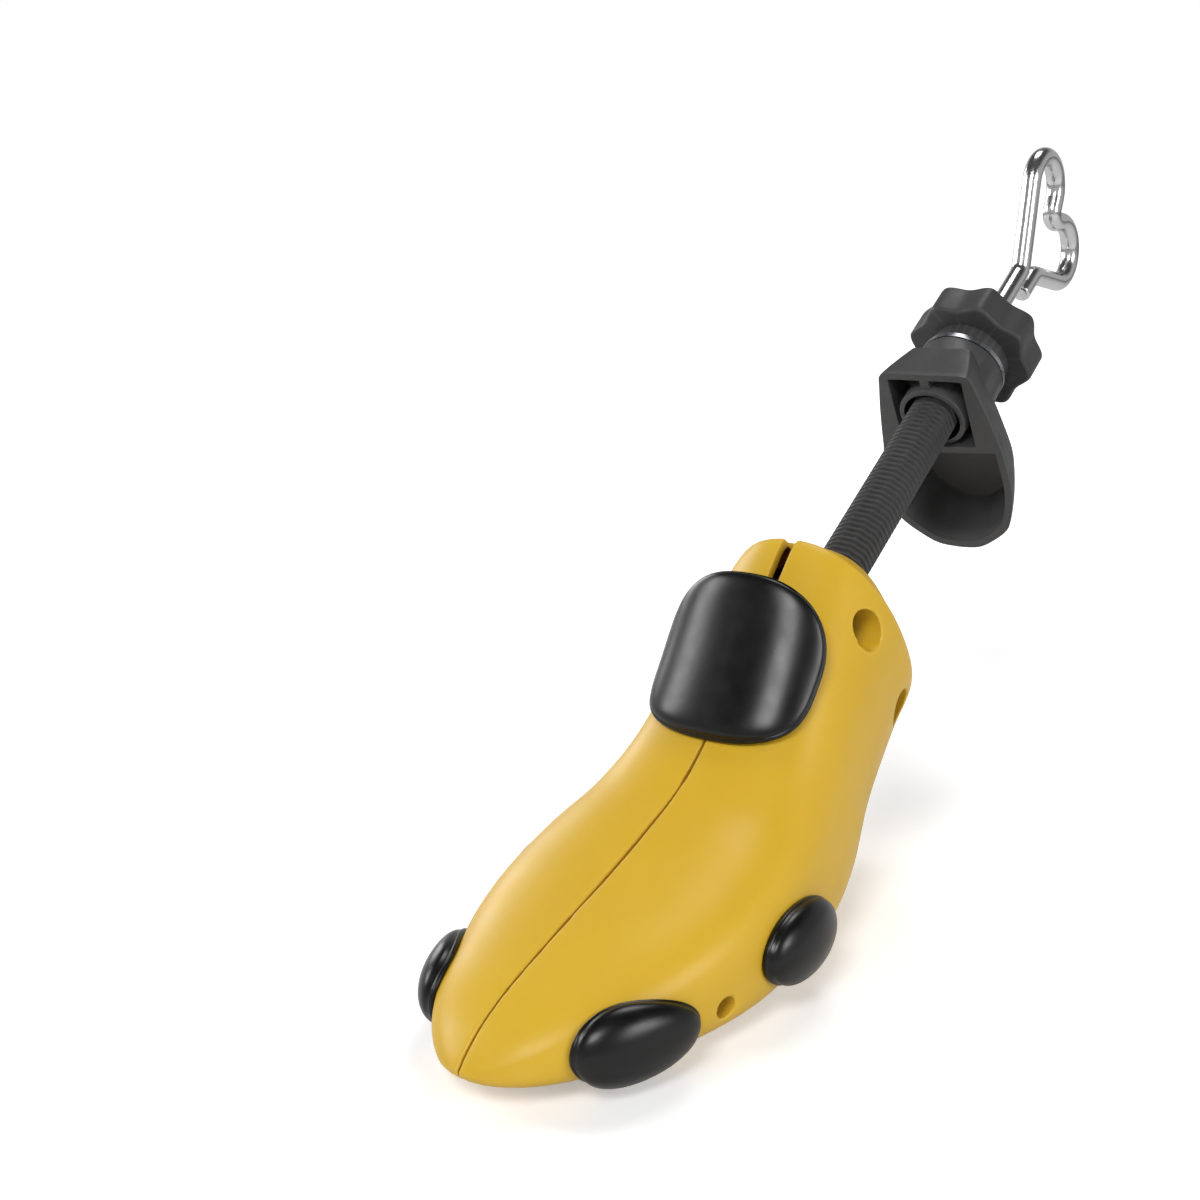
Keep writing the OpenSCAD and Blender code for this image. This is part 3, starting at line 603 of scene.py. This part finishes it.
def soften_mouth(bm, base, r):
    """Rolls the surface round a hole's mouth into the hole, after a finer local grid."""
    base, axis = Vector(base), Vector(SIDEWAYS)

    def away(v):
        q = v - base
        return (q - axis * q.dot(axis)).length, q.dot(axis)

    for _ in range(2):
        edges = []
        for e in bm.edges:
            (ra, ha), (rb, hb) = away(e.verts[0].co), away(e.verts[1].co)
            near = min(ra, rb) < (r + MOUTH_LIP * 2) * MM
            if near and min(ha, hb) > MOUTH_OUT * MM and max(ra, rb) > (r - MOUTH_INSIDE) * MM:
                edges.append(e)
        bmesh.ops.subdivide_edges(bm, edges=edges, cuts=1, use_grid_fill=True, use_smooth_even=False)
    for v in bm.verts:
        dist, height = away(v.co)
        if height > MOUTH_OUT * MM and dist < (r + MOUTH_LIP) * MM:
            t = min((r + MOUTH_LIP - dist / MM) / MOUTH_LIP, 1)
            v.co -= axis * MOUTH_LIP * MM * (1 - math.sqrt(max(1 - t * t, 0)))


def soften_mouths(half):
    """Softens the mouths of the counterbores and of the spare peg hole."""
    mouths = [((0, *rod(0, 0, z)[1:]), COUNTER_R) for z in SCREWS]
    spare_d, spare_z = SITES["spare"]
    mouths.append(((0, HINGE_Y - spare_d, spare_z), PEG_HOLE_R))
    bm = bmesh.new()
    bm.from_mesh(half.data)
    for base, r in mouths:
        soften_mouth(bm, Vector(base) * MM, r)
    bm.to_mesh(half.data)
    bm.free()


def leave_supports(hollow):
    """Takes out of the hollow what stands in it: screw bosses, ramp plates, spring post, peg bosses."""
    for z in SCREWS:
        base = rod(BLOCK_HALF + SIDE_GAP, 0, z)
        boolean(hollow, cylinder("boss", BOSS_R, base, SIDEWAYS, OUTWARDS))
    for z in (-RAMP_UP, RAMP_UP):
        boolean(hollow, on_rod(prism("ramp", ramp_outline(), z - RAMP_T / 2, z + RAMP_T / 2)))
    post_low = (POST_FROM, SPRING_AT - POST_HALF, -POST_UP)
    post_high = (OUTWARDS, SPRING_AT + POST_HALF, POST_UP)
    boolean(hollow, on_rod(box("post", post_low, post_high)))
    middles = (STATIONS[:, 0] + STATIONS[:, 2]) / 2
    for d, z in SITES.values():
        half_width = station_at(STATIONS, np.interp(d, middles, range(LAST + 1)))[4]
        base = (half_width - PEG_BOSS_IN, HINGE_Y - d, z)
        boolean(hollow, cylinder("peg_boss", PEG_BOSS_R, base, SIDEWAYS, 30, 40))


def cut_rooms(half):
    """Cuts the bores, and the room that the pieces between the halves need."""
    for z in SCREWS:
        boolean(half, cylinder("counterbore", COUNTER_R, rod(HEAD_SEAT, 0, z), SIDEWAYS, 46, 96))
        boolean(half, cylinder("clearance", CLEARANCE_R, rod(0, 0, z), SIDEWAYS, OUTWARDS))
    tube = rod(0, TUBE_FROM, 0)
    boolean(half, cylinder("tube_room", TUBE_ROOM_R, tube, BACKWARD, TUBE_ROOM_TO - TUBE_FROM, 96))
    front = rod(0, ROD_ROOM_FROM, 0)
    boolean(half, cylinder("rod_room", ROD_ROOM_R, front, BACKWARD, -ROD_ROOM_FROM))
    stem = rod(0, -STEM_BACK, STEM_FROM)
    boolean(half, cylinder("stem_room", PEG_HOLE_R + SIDE_GAP, stem, SQUARE_UP, OUTWARDS))
    pin = rod(PIN_X, SPRING_AT, -PIN_HALF)
    boolean(half, cylinder("pin_room", PIN_R + RUN_GAP, pin, SQUARE_UP, 2 * PIN_HALF, 32))
    room_half, room_up = SPRING_ROOM
    room_low = (0, SPRING_AT - room_half, -room_up)
    room_high = (PIN_X + HOOK_R + SIDE_GAP, SPRING_AT + room_half, room_up)
    boolean(half, on_rod(box("spring_room", room_low, room_high)))
    block_low, block_high = np.subtract(BLOCK_LOW, ROOM_BELOW), np.add(BLOCK_HIGH, ROOM_ABOVE)
    boolean(half, on_rod(box("block_room", block_low, block_high)))
    rib = rod(BLOCK_HALF, 0, BLOCK_LOW[2] - RIB_OVER)
    rib_len = BLOCK_HIGH[2] - BLOCK_LOW[2] + 2 * RIB_OVER
    boolean(half, cylinder("rib_seat", RIB_R + RUN_GAP, rib, SQUARE_UP, rib_len))
    for d, z in SITES.values():
        base = (surface_at(d, z) - PEG_BOSS_IN - PEG_OVER, HINGE_Y - d, z)
        boolean(half, cylinder("peg_hole", PEG_HOLE_R, base, SIDEWAYS, OUTWARDS, 64))


def build_half():
    """Left half of the last."""
    half = outer_half()
    soften_mouths(half)
    hollow = cavity_half()
    leave_supports(hollow)
    boolean(half, hollow)
    cut_rooms(half)
    return half


last_left = build_half()
last_right = mirrored(last_left, "last_right")
dress(last_left, "yellow_plastic", "half_left", "half_shell_left")
dress(last_right, "yellow_plastic", "half_right", "half_shell_right")

# Pads
PAD_REST = 0.15
PAD_RIM, PAD_T = 1.5, 6.5
PAD_SIZES = {"toe": (15.2, 8.6), "ball": (16.0, 9.4)}
CROWN_TO = 0.955
# Share of the radius and height of each row from the crown's foot round the rim to the underside
PAD_EDGE = [(0.958, 1.45), (0.97, 1.3), (0.985, 1.22), (0.997, 1.05), (1.0, 0.8), (1.0, 0.35),
            (0.995, 0.0), (0.7, 0.0), (0.35, 0.0)]

INSTEP_MID, INSTEP_SHARE = 6.15, 0.74
INSTEP_RISE, RISE_POWER = 10.5, 2.5
INSTEP_RIM, INSTEP_CROWN, INSTEP_CROWN_TO = 1.4, 4.2, 0.968
CROWN_ASIDE, CROWN_FORWARD = 0.72, 0.25
INSTEP_CORNER = 0.78
# Share of the radius, height (None: the crown's) and share of the rise of each row. The underside is
# hollow: it follows the crown, without the rise
INSTEP_EDGE = [(0.969, 1.35, 1), (0.975, 1.25, 1), (0.981, 1.3, 1), (0.989, 1.15, 1), (0.995, 0.9, 0.97),
               (1.0, 0.6, 0.9), (1.0, 0.45, 0.6), (1.0, 0.3, 0.3), (0.994, 0, 0),
               (0.7, None, 0), (0.35, None, 0)]


def side_pad(name, site, size):
    """Oval pad on the last's left side, with a domed top and a rim."""
    d, z = SITES[site]
    rows = []
    for k in np.sin(np.linspace(0.04, math.pi / 2, 22)) * 0.94:
        rows.append((k, PAD_RIM + (PAD_T - PAD_RIM) * math.sqrt(1 - (k / CROWN_TO) ** 2)))
    rings = []
    for k, h in rows + PAD_EDGE:
        spots = [(d + size[0] * k * math.cos(q), z + size[1] * k * math.sin(q)) for q in circle(96)]
        rings.append([off_surface(*spot, PAD_REST + h) for spot in spots])
    return loft(name, rings)


def instep_base(u, q):
    """Point on the last's top: u along the stations, q across, from -1 to 1 at the widest."""
    s = station_at(STATIONS, u)
    share = min(abs(q), 1)
    p = section(s, np.array([math.acos(share ** (s[6] / 2))]))[0]
    return np.array([math.copysign(p[0], q), p[1], p[2]])


def instep_point(u, q, h):
    """Point that stands a height off the last's top, clear of the halves when they are open."""
    a = instep_base(u + 0.05, q) - instep_base(u - 0.05, q)
    b = instep_base(u, q + 0.02) - instep_base(u, q - 0.02)
    p = instep_base(u, q)
    n = np.cross(b, a)
    n /= np.linalg.norm(n)
    if n[2] < 0:
        n = -n
    ahead = max(HINGE_Y - p[1], 0)
    gap = SIDE_GAP + 1.1 * ahead * math.sin(SWING) * abs(n[0])
    return p + n * (gap + h)


def instep_crown(k, forward, aside):
    """Height of the instep pad inside its rim."""
    crown = 1 - CROWN_ASIDE * aside ** 2 - CROWN_FORWARD * forward ** 2
    return INSTEP_RIM + INSTEP_CROWN * crown * math.sqrt(1 - (k / INSTEP_CROWN_TO) ** 6)


def instep_pad():
    """Saddle pad with rounded corners whose back rises off the neck."""
    rows = [(k, None, 1) for k in np.sin(np.linspace(0.04, math.pi / 2, 30)) * 0.965]
    rings = []
    for k, height, lift in rows + INSTEP_EDGE:
        ring = []
        for q in circle(128):
            cosine, sine = math.cos(q), math.sin(q)
            forward = k * math.copysign(abs(cosine) ** INSTEP_CORNER, cosine)
            aside = k * math.copysign(abs(sine) ** INSTEP_CORNER, sine)
            rise = lift * INSTEP_RISE * ((1 - forward) / 2) ** RISE_POWER
            h = instep_crown(k, forward, aside) if height is None else height
            ring.append(instep_point(INSTEP_MID + forward, INSTEP_SHARE * aside + 0.001, h + rise))
        rings.append(ring)
    return loft("instep_pad_skin", rings)


for site, size in PAD_SIZES.items():
    left = side_pad(f"{site}_pad_skin_left", site, size)
    right = mirrored(left, f"{site}_pad_skin_right")
    dress(left, "black_pad", "half_left", f"{site}_pad_left", degrees=50)
    dress(right, "black_pad", "half_right", f"{site}_pad_right", degrees=50)
dress(instep_pad(), "black_pad", "frame", "instep_pad", degrees=50)

# Tube
PITCH = 2.0
THREAD_DEEP = 0.8
END_DEEP, END_LEN, START_LEN = 0.7, 1.2, 0.6


def thread_tube():
    """Round thread with a flat on each side, and the tube's bore."""
    around, per_turn = 72, 10
    steps = int((TUBE_TO - TUBE_FROM) / PITCH * per_turn)
    a = circle(around)
    rings = []
    for i in range(steps + 1):
        y = TUBE_FROM + (TUBE_TO - TUBE_FROM) * i / steps
        turn = (y / PITCH + a / (2 * np.pi)) % 1
        wave = np.clip(0.5 + 0.75 * np.cos(2 * np.pi * turn), 0, 1)
        end = min(1, (TUBE_TO - y) / END_LEN, (y - TUBE_FROM) / START_LEN)
        r = TUBE_R - THREAD_DEEP * (1 - wave) - END_DEEP * (1 - end)
        x = np.clip(r * np.cos(a), -TUBE_FLAT, TUBE_FLAT)
        rings.append(rod(x, np.full(around, y), r * np.sin(a)))
    for y in (TUBE_TO, TUBE_FROM):
        rings.append(rod(BORE_R * np.cos(a), np.full(around, y), BORE_R * np.sin(a)))
    faces = grid_faces(len(rings), around, wrap=True)
    return outward(mesh_object("tube_thread", np.concatenate(rings), faces))


dress(thread_tube(), "dark_plastic", "frame", "threaded_tube", degrees=40)

# Handle: a straight shank with the clip's groove, and a heart bent from the same rod
SHANK_TO = TUBE_TO + 3.4
CLIP_FROM, CLIP_TO, CLIP_DEEP = TUBE_TO + 1.3, TUBE_TO + 2.5, 0.6
LOBE_FAR = math.hypot(HEART_LEN, LOBE_OFF)
LEG = math.atan2(LOBE_OFF, HEART_LEN) + math.asin(LOBE_R / LOBE_FAR)
NOTCH = math.radians(57.5)
NOTCH_R = ROD_R + 0.2
BEND_R = 6.0
STRAIGHT = 12.0
FREE_END = 4.0
END_ROUND = 0.9


def arc(y, z, r, start, end, n):
    """Points of an arc in the heart's plane."""
    a = np.linspace(start, end, n)
    return np.stack([y + r * np.cos(a), z + r * np.sin(a)], axis=-1)


def heart_line():
    """Middle line of the heart, from the shank round both lobes to the free end below the shank."""
    lobe_y = HEART_AT + HEART_LEN
    arc_y = lobe_y + LOBE_R * math.cos(NOTCH)
    arc_z = LOBE_OFF - LOBE_R * math.sin(NOTCH)
    notch_y = arc_y - arc_z * math.tan(NOTCH) + NOTCH_R / math.cos(NOTCH)
    free_z = 2 * ROD_R + 0.3
    free_y = HEART_AT + free_z / math.tan(LEG)
    half_pi = math.pi / 2
    back = BEND_R * math.tan(LEG / 2)
    parts = [
        [[SHANK_TO, 0], [HEART_AT - back - STRAIGHT, 0]],
        arc(HEART_AT - back, BEND_R, BEND_R, -half_pi, LEG - half_pi, 10),
        arc(lobe_y, LOBE_OFF, LOBE_R, half_pi + LEG, -NOTCH, 44),
        arc(notch_y, 0, NOTCH_R, math.pi - NOTCH, math.pi + NOTCH, 14),
        arc(lobe_y, -LOBE_OFF, LOBE_R, NOTCH, -half_pi - LEG, 44),
        arc(free_y - back, -free_z - BEND_R, BEND_R, half_pi - LEG, half_pi, 10),
        [[HEART_AT - FREE_END, -free_z]],
    ]
    return np.concatenate([np.array(p, float) for p in parts])


def sweep(name, line, r, sides):
    """Round wire along a line in the heart's plane, with a rounded free end."""
    tangent = np.gradient(line, axis=0)
    tangent /= np.linalg.norm(tangent, axis=1)[:, None]
    spots = [(p, t, r) for p, t in zip(line[:-1], tangent[:-1])]
    p, t = line[-1], tangent[-1]
    for q in np.linspace(0, math.pi / 2, 6):
        spots.append((p - t * END_ROUND * (1 - math.sin(q)), t, r - END_ROUND * (1 - math.cos(q))))
    a = circle(sides)
    rings = []
    for p, t, k in spots:
        rings.append(rod(k * np.sin(a), p[0] - t[1] * k * np.cos(a), p[1] + t[0] * k * np.cos(a)))
    return loft(name, rings)


shank_line = [(ROD_FRONT, 0.01), (ROD_FRONT, ROD_R - 0.7), (ROD_FRONT + 0.7, ROD_R), (CLIP_FROM, ROD_R),
              (CLIP_FROM, ROD_R - CLIP_DEEP), (CLIP_TO, ROD_R - CLIP_DEEP), (CLIP_TO, ROD_R),
              (SHANK_TO, ROD_R), (SHANK_TO, 0.01)]
heart = sweep("heart_handle", heart_line(), ROD_R, 40)
shank = lathe("shank", shank_line, 48)
dress(heart, "chrome_steel", "drive", "drive_rod", degrees=50)
dress(shank, "chrome_steel", "drive", degrees=30)

# Heel piece: an open shell towards the last, drawn in towards its closed back
HEEL_AT, HEEL_DEPTH, HEEL_WALL = 96.0, 14.0, 2.2
HEEL_UP, HEEL_MID, HEEL_DOWN = 15.7, -16.0, 49.0
HEEL_TOP, HEEL_WIDE = 15.0, 21.5
SIDE_IN, SIDE_POWER = 0.32, 1.3
TOP_IN, FOOT_IN = 0.03, 0.16
HUB_R, HUB_FROM, HUB_TO = 10.9, HEEL_AT - 1.9, HEEL_AT + HEEL_DEPTH
COLLAR_R, COLLAR_FROM, COLLAR_TO = 14.0, HEEL_AT + 10, HEEL_AT + 21
MOUTH_R, MOUTH_TO = 9.2, HEEL_AT + 1
NECK_R, SEAT_FROM, NECK_FROM = 10.0, HEEL_AT + 14.5, HEEL_AT + 15
RING_AT, RING_T, RING_GAP = HEEL_AT + 16.2, 1.2, 0.2
GROOVE_FROM, GROOVE_TO = RING_AT - RING_GAP, RING_AT + RING_T + RING_GAP
SOFT, SHARP = 0.5, 0.01
BEFORE, BEHIND = HEEL_AT - 30, 200.0
# Right half of the outline from its top to its foot, and how far the open edge leans forward down it
HEEL_KEYS = np.array([
    [0, HEEL_UP], [HEEL_TOP - 3, HEEL_UP], [HEEL_TOP, HEEL_UP - 1.2], [HEEL_TOP + 1.2, 10],
    [HEEL_WIDE - 3.2, 0], [HEEL_WIDE - 1.2, -12], [HEEL_WIDE - 0.1, -22], [HEEL_WIDE, -28],
    [HEEL_WIDE - 0.9, -34], [HEEL_WIDE - 2.9, -39.5], [HEEL_WIDE - 8.4, -44.6], [7, -48.2], [0, -HEEL_DOWN],
])
LEAN_Z = [-HEEL_DOWN, -39, -28, -12, HEEL_UP]
LEAN = [9, 8, 5, 2, 0]
# What stays solid in its hollow, from left to right and from low to high: a rib across, an upright rib,
# both shoulders and the top
HEEL_RIBS = [(-30, 30, -12.6, -10.2), (-1.5, 1.5, 0, 30), (-36.4, -12.4, -12.6, 47.4),
             (12.4, 36.4, -12.6, 47.4), (-30, 30, 14, 24)]


def heel_ring(k, shrink, steps=72):
    """Outline of the heel piece at a share of its depth, drawn in all round by shrink."""
    last = len(HEEL_KEYS) - 1
    half = []
    for j in range(steps + 1):
        t = last * j / steps
        i = min(int(t), last - 1)
        keys = [HEEL_KEYS[max(i - 1, 0)], HEEL_KEYS[i], HEEL_KEYS[i + 1], HEEL_KEYS[min(i + 2, last)]]
        half.append(blend4(*keys, t - i))
    line = [(x, z) for x, z in half] + [(-x, z) for x, z in half[-2:0:-1]]
    keep = 1 - SIDE_IN * max(k, 0) ** SIDE_POWER
    tall = 1 - 2 * shrink / (HEEL_UP + HEEL_DOWN)
    ring = []
    for x, z in line:
        drawn = 1 - (TOP_IN if z > HEEL_MID else FOOT_IN) * k
        y = HEEL_AT + k * HEEL_DEPTH - (1 - k) * float(np.interp(z, LEAN_Z, LEAN))
        ring.append(rod(x * keep * (1 - shrink / HEEL_WIDE), y, HEEL_MID + (z - HEEL_MID) * tall * drawn))
    return np.array(ring)


def heel_loft(name, shrink, start, end, layers):
    """Body of the heel piece between two shares of its depth."""
    shares = [start + (end - start) * math.sin(math.pi / 2 * i / layers) for i in range(layers + 1)]
    return loft(name, [heel_ring(k, shrink) for k in shares])


def tube_outline():
    """Outline that slides on the tube."""
    r, flat = TUBE_R + RUN_GAP, TUBE_FLAT + RUN_GAP
    return [(float(np.clip(r * math.cos(q), -flat, flat)), float(r * math.sin(q))) for q in circle(96)]


def bar_along(name, outline, start, end):
    """Prism along the rod from an outline across it."""
    obj = prism(name, outline, -end, -start)
    obj.data.transform(Matrix(((1, 0, 0, 0), (0, 0, -1, 0), (0, 1, 0, 0), (0, 0, 0, 1))))
    return on_rod(obj)


def build_heel():
    """Heel piece with its ribs, the hub and collar round the tube, and the knob's seat."""
    hollow = heel_loft("heel_hollow", HEEL_WALL, -0.2, 0.8, 10)
    for left, right, low, high in HEEL_RIBS:
        boolean(hollow, on_rod(box("rib", (left, HEEL_AT - 20, low), (right, HEEL_AT + 30, high))))
    heel = heel_loft("heel_body", 0, 0, 1, 20)
    boolean(heel, hollow)
    boolean(heel, ring_bar("hub", HUB_R, HUB_FROM, HUB_TO, SOFT), "UNION")
    boolean(heel, ring_bar("collar", COLLAR_R, COLLAR_FROM, COLLAR_TO, SOFT), "UNION")
    boolean(heel, bar_along("tube_bore", tube_outline(), 0, BEHIND))
    boolean(heel, ring_bar("mouth", MOUTH_R, BEFORE, MOUTH_TO, SHARP))
    boolean(heel, ring_bar("seat", NECK_R + SIDE_GAP, SEAT_FROM, BEHIND, SHARP))
    boolean(heel, ring_bar("groove", NECK_R + 1.4, GROOVE_FROM, GROOVE_TO, SHARP))
    return heel


heel = build_heel()
dress(heel, "dark_plastic", "heel", "heel_piece", degrees=30)
edge = heel.modifiers.new("edge", "BEVEL")
edge.width = 0.3 * MM
edge.segments = 2
edge.limit_method = "ANGLE"
edge.angle_limit = math.radians(38)
edge.harden_normals = False

# Knob: hollows between its lobes, softened edges, and a round boss and neck towards the heel piece
KNOB_R, KNOB_T, LOBES = 20.5, 12.0, 8
KNOB_HOLLOW, HOLLOW_POWER = 2.3, 0.8
KNOB_AT, KNOB_BOSS, BOSS_OUT = COLLAR_TO + 2, 5.0, 13.0
FRONT_EDGE, BACK_EDGE = 1.2, 1.8
FACE_IN = 6.0


def knob_ring(y, shrink):
    """Lobed outline at a place along the rod."""
    a = circle(256)
    r = KNOB_R - KNOB_HOLLOW * (0.5 + 0.5 * np.cos(LOBES * a)) ** HOLLOW_POWER - shrink
    return rod(r * np.cos(a), np.full(256, y), r * np.sin(a))


def rounded(start, lip, turns):
    """Rings round a softened edge that starts at a face; a negative lip rounds towards the front."""
    size = abs(lip)
    return [knob_ring(start + lip * (1 - math.cos(q)), size * (1 - math.sin(q))) for q in turns]


def build_knob():
    """Knob with its bore and the groove for the ring that holds it in the heel piece."""
    start = KNOB_AT + KNOB_BOSS
    end = start + KNOB_T
    turns = np.linspace(0.15, 1.571, 7)
    rings = [knob_ring(start, FACE_IN), knob_ring(start, FRONT_EDGE)]
    rings += rounded(start, FRONT_EDGE, turns) + rounded(end, -BACK_EDGE, turns[::-1])
    rings += [knob_ring(end, BACK_EDGE), knob_ring(end, FACE_IN)]
    knob = loft("knob_body", rings)
    boolean(knob, ring_bar("boss", BOSS_OUT, KNOB_AT, start + 2, SOFT), "UNION")
    boolean(knob, ring_bar("neck", NECK_R, NECK_FROM, KNOB_AT + 1, 0.2), "UNION")
    boolean(knob, ring_bar("bore", TUBE_R + RUN_GAP, 0, 300, SHARP))
    groove = [(GROOVE_FROM, NECK_R - 1), (GROOVE_FROM, NECK_R + 1),
              (GROOVE_TO, NECK_R + 1), (GROOVE_TO, NECK_R - 1)]
    boolean(knob, lathe("groove", groove, close=True))
    return knob


dress(build_knob(), "dark_plastic", "knob", "length_knob", degrees=34)

# The photograph's camera, solved from the part's own sizes
FOCAL_PX, SIDE_PX = 1597.0, 1200.0
SENSOR = 36.0
camera_data = bpy.data.cameras.new("camera")
camera = bpy.data.objects.new("camera", camera_data)
bpy.context.scene.collection.objects.link(camera)
camera_data.sensor_width = SENSOR
camera_data.lens = SENSOR * FOCAL_PX / SIDE_PX
camera_data.clip_start, camera_data.clip_end = 0.02, 20
eye = rod(226.3, -242.9, 307.3) * MM
look = Vector((-0.606, 0.748, -0.273)).normalized()
up = Vector((0.786, 0.617, -0.055)).normalized().cross(look).normalized()
across = look.cross(up).normalized()
camera.matrix_world = Matrix((
    (across.x, up.x, -look.x, eye[0]),
    (across.y, up.y, -look.y, eye[1]),
    (across.z, up.z, -look.z, eye[2]),
    (0, 0, 0, 1)))
bpy.context.scene.camera = camera

# Floor, which glows white for the camera from some way off the object
scene = bpy.context.scene
scene.view_settings.view_transform = "Standard"
FLOOR_HALF = 6
WHITE = (1, 1, 1, 1)

corners = [(-FLOOR_HALF, -FLOOR_HALF, 0), (FLOOR_HALF, -FLOOR_HALF, 0),
           (FLOOR_HALF, FLOOR_HALF, 0), (-FLOOR_HALF, FLOOR_HALF, 0)]
floor_mesh = bpy.data.meshes.new("floor")
floor_mesh.from_pydata(corners, [], [(0, 1, 2, 3)])
floor = bpy.data.objects.new("floor", floor_mesh)
scene.collection.objects.link(floor)
floor.location.z = min(0.0, cad_low.z) - 0.2 * MM

ground = Shader("ground", Base_Color=(0.82, 0.82, 0.82, 1), Roughness=0.9, Emission_Color=WHITE)
distance = ground.node("ShaderNodeVectorMath", {0: ground.where}, operation="LENGTH").outputs["Value"]
seen = ground.node("ShaderNodeLightPath").outputs["Is Camera Ray"]
glow = ground.node("ShaderNodeMath", {0: seen, 1: ground.ramp(distance, 0.2, 0.7, 0.35, 1.0)},
                   operation="MULTIPLY").outputs[0]
ground.set(Emission_Strength=glow)
floor_mesh.materials.append(ground.material)

# World: white for the camera. The steel and the pads see it bright near the horizon and dark overhead
world = bpy.data.worlds.new("world")
scene.world = world
world.use_nodes = True
world.node_tree.nodes.clear()
sky = Nodes(world.node_tree)
toward = sky.node("ShaderNodeTexCoord").outputs["Generated"]
upward = sky.node("ShaderNodeSeparateXYZ", {0: toward}).outputs["Z"]
strength = sky.ramp(upward, 0.3, 0.65, 0.5, 0.07, interpolation_type="SMOOTHSTEP")
soft = sky.node("ShaderNodeBackground", {"Color": WHITE, "Strength": strength}).outputs[0]
plain = sky.node("ShaderNodeBackground", {"Color": WHITE, "Strength": 1.0}).outputs[0]
to_camera = sky.node("ShaderNodeLightPath").outputs["Is Camera Ray"]
chosen = sky.node("ShaderNodeMixShader", {0: to_camera, 1: soft, 2: plain}).outputs[0]
sky.node("ShaderNodeOutputWorld", {"Surface": chosen})

# Lamps: place, target, size and watts
LAMPS = {
    "front_right": ((0.3, -0.85, 0.88), (0, -0.03, 0.07), (0.38, 0.34), 6.2),
    "front_left": ((-0.95, -0.46, 0.56), (0, -0.03, 0.1), (0.34, 0.42), 4.0),
    "left": ((-1.1, 0.3, 0.42), (0, 0, 0.08), (0.4, 0.5), 3.2),
    "right": ((1.05, -0.1, 0.5), (0, 0, 0.05), (0.4, 0.4), 4.2),
    "top": ((-0.1, 0.5, 1.2), (0, 0, 0.05), (0.5, 0.4), 4.5),
}
for name, (place, target, size, power) in LAMPS.items():
    data = bpy.data.lights.new(name, "AREA")
    data.shape = "RECTANGLE"
    data.size, data.size_y = size
    data.energy = power
    lamp = bpy.data.objects.new(name, data)
    scene.collection.objects.link(lamp)
    lamp.location = place
    lamp.rotation_mode = "QUATERNION"
    lamp.rotation_quaternion = (Vector(place) - Vector(target)).to_track_quat("Z", "Y")
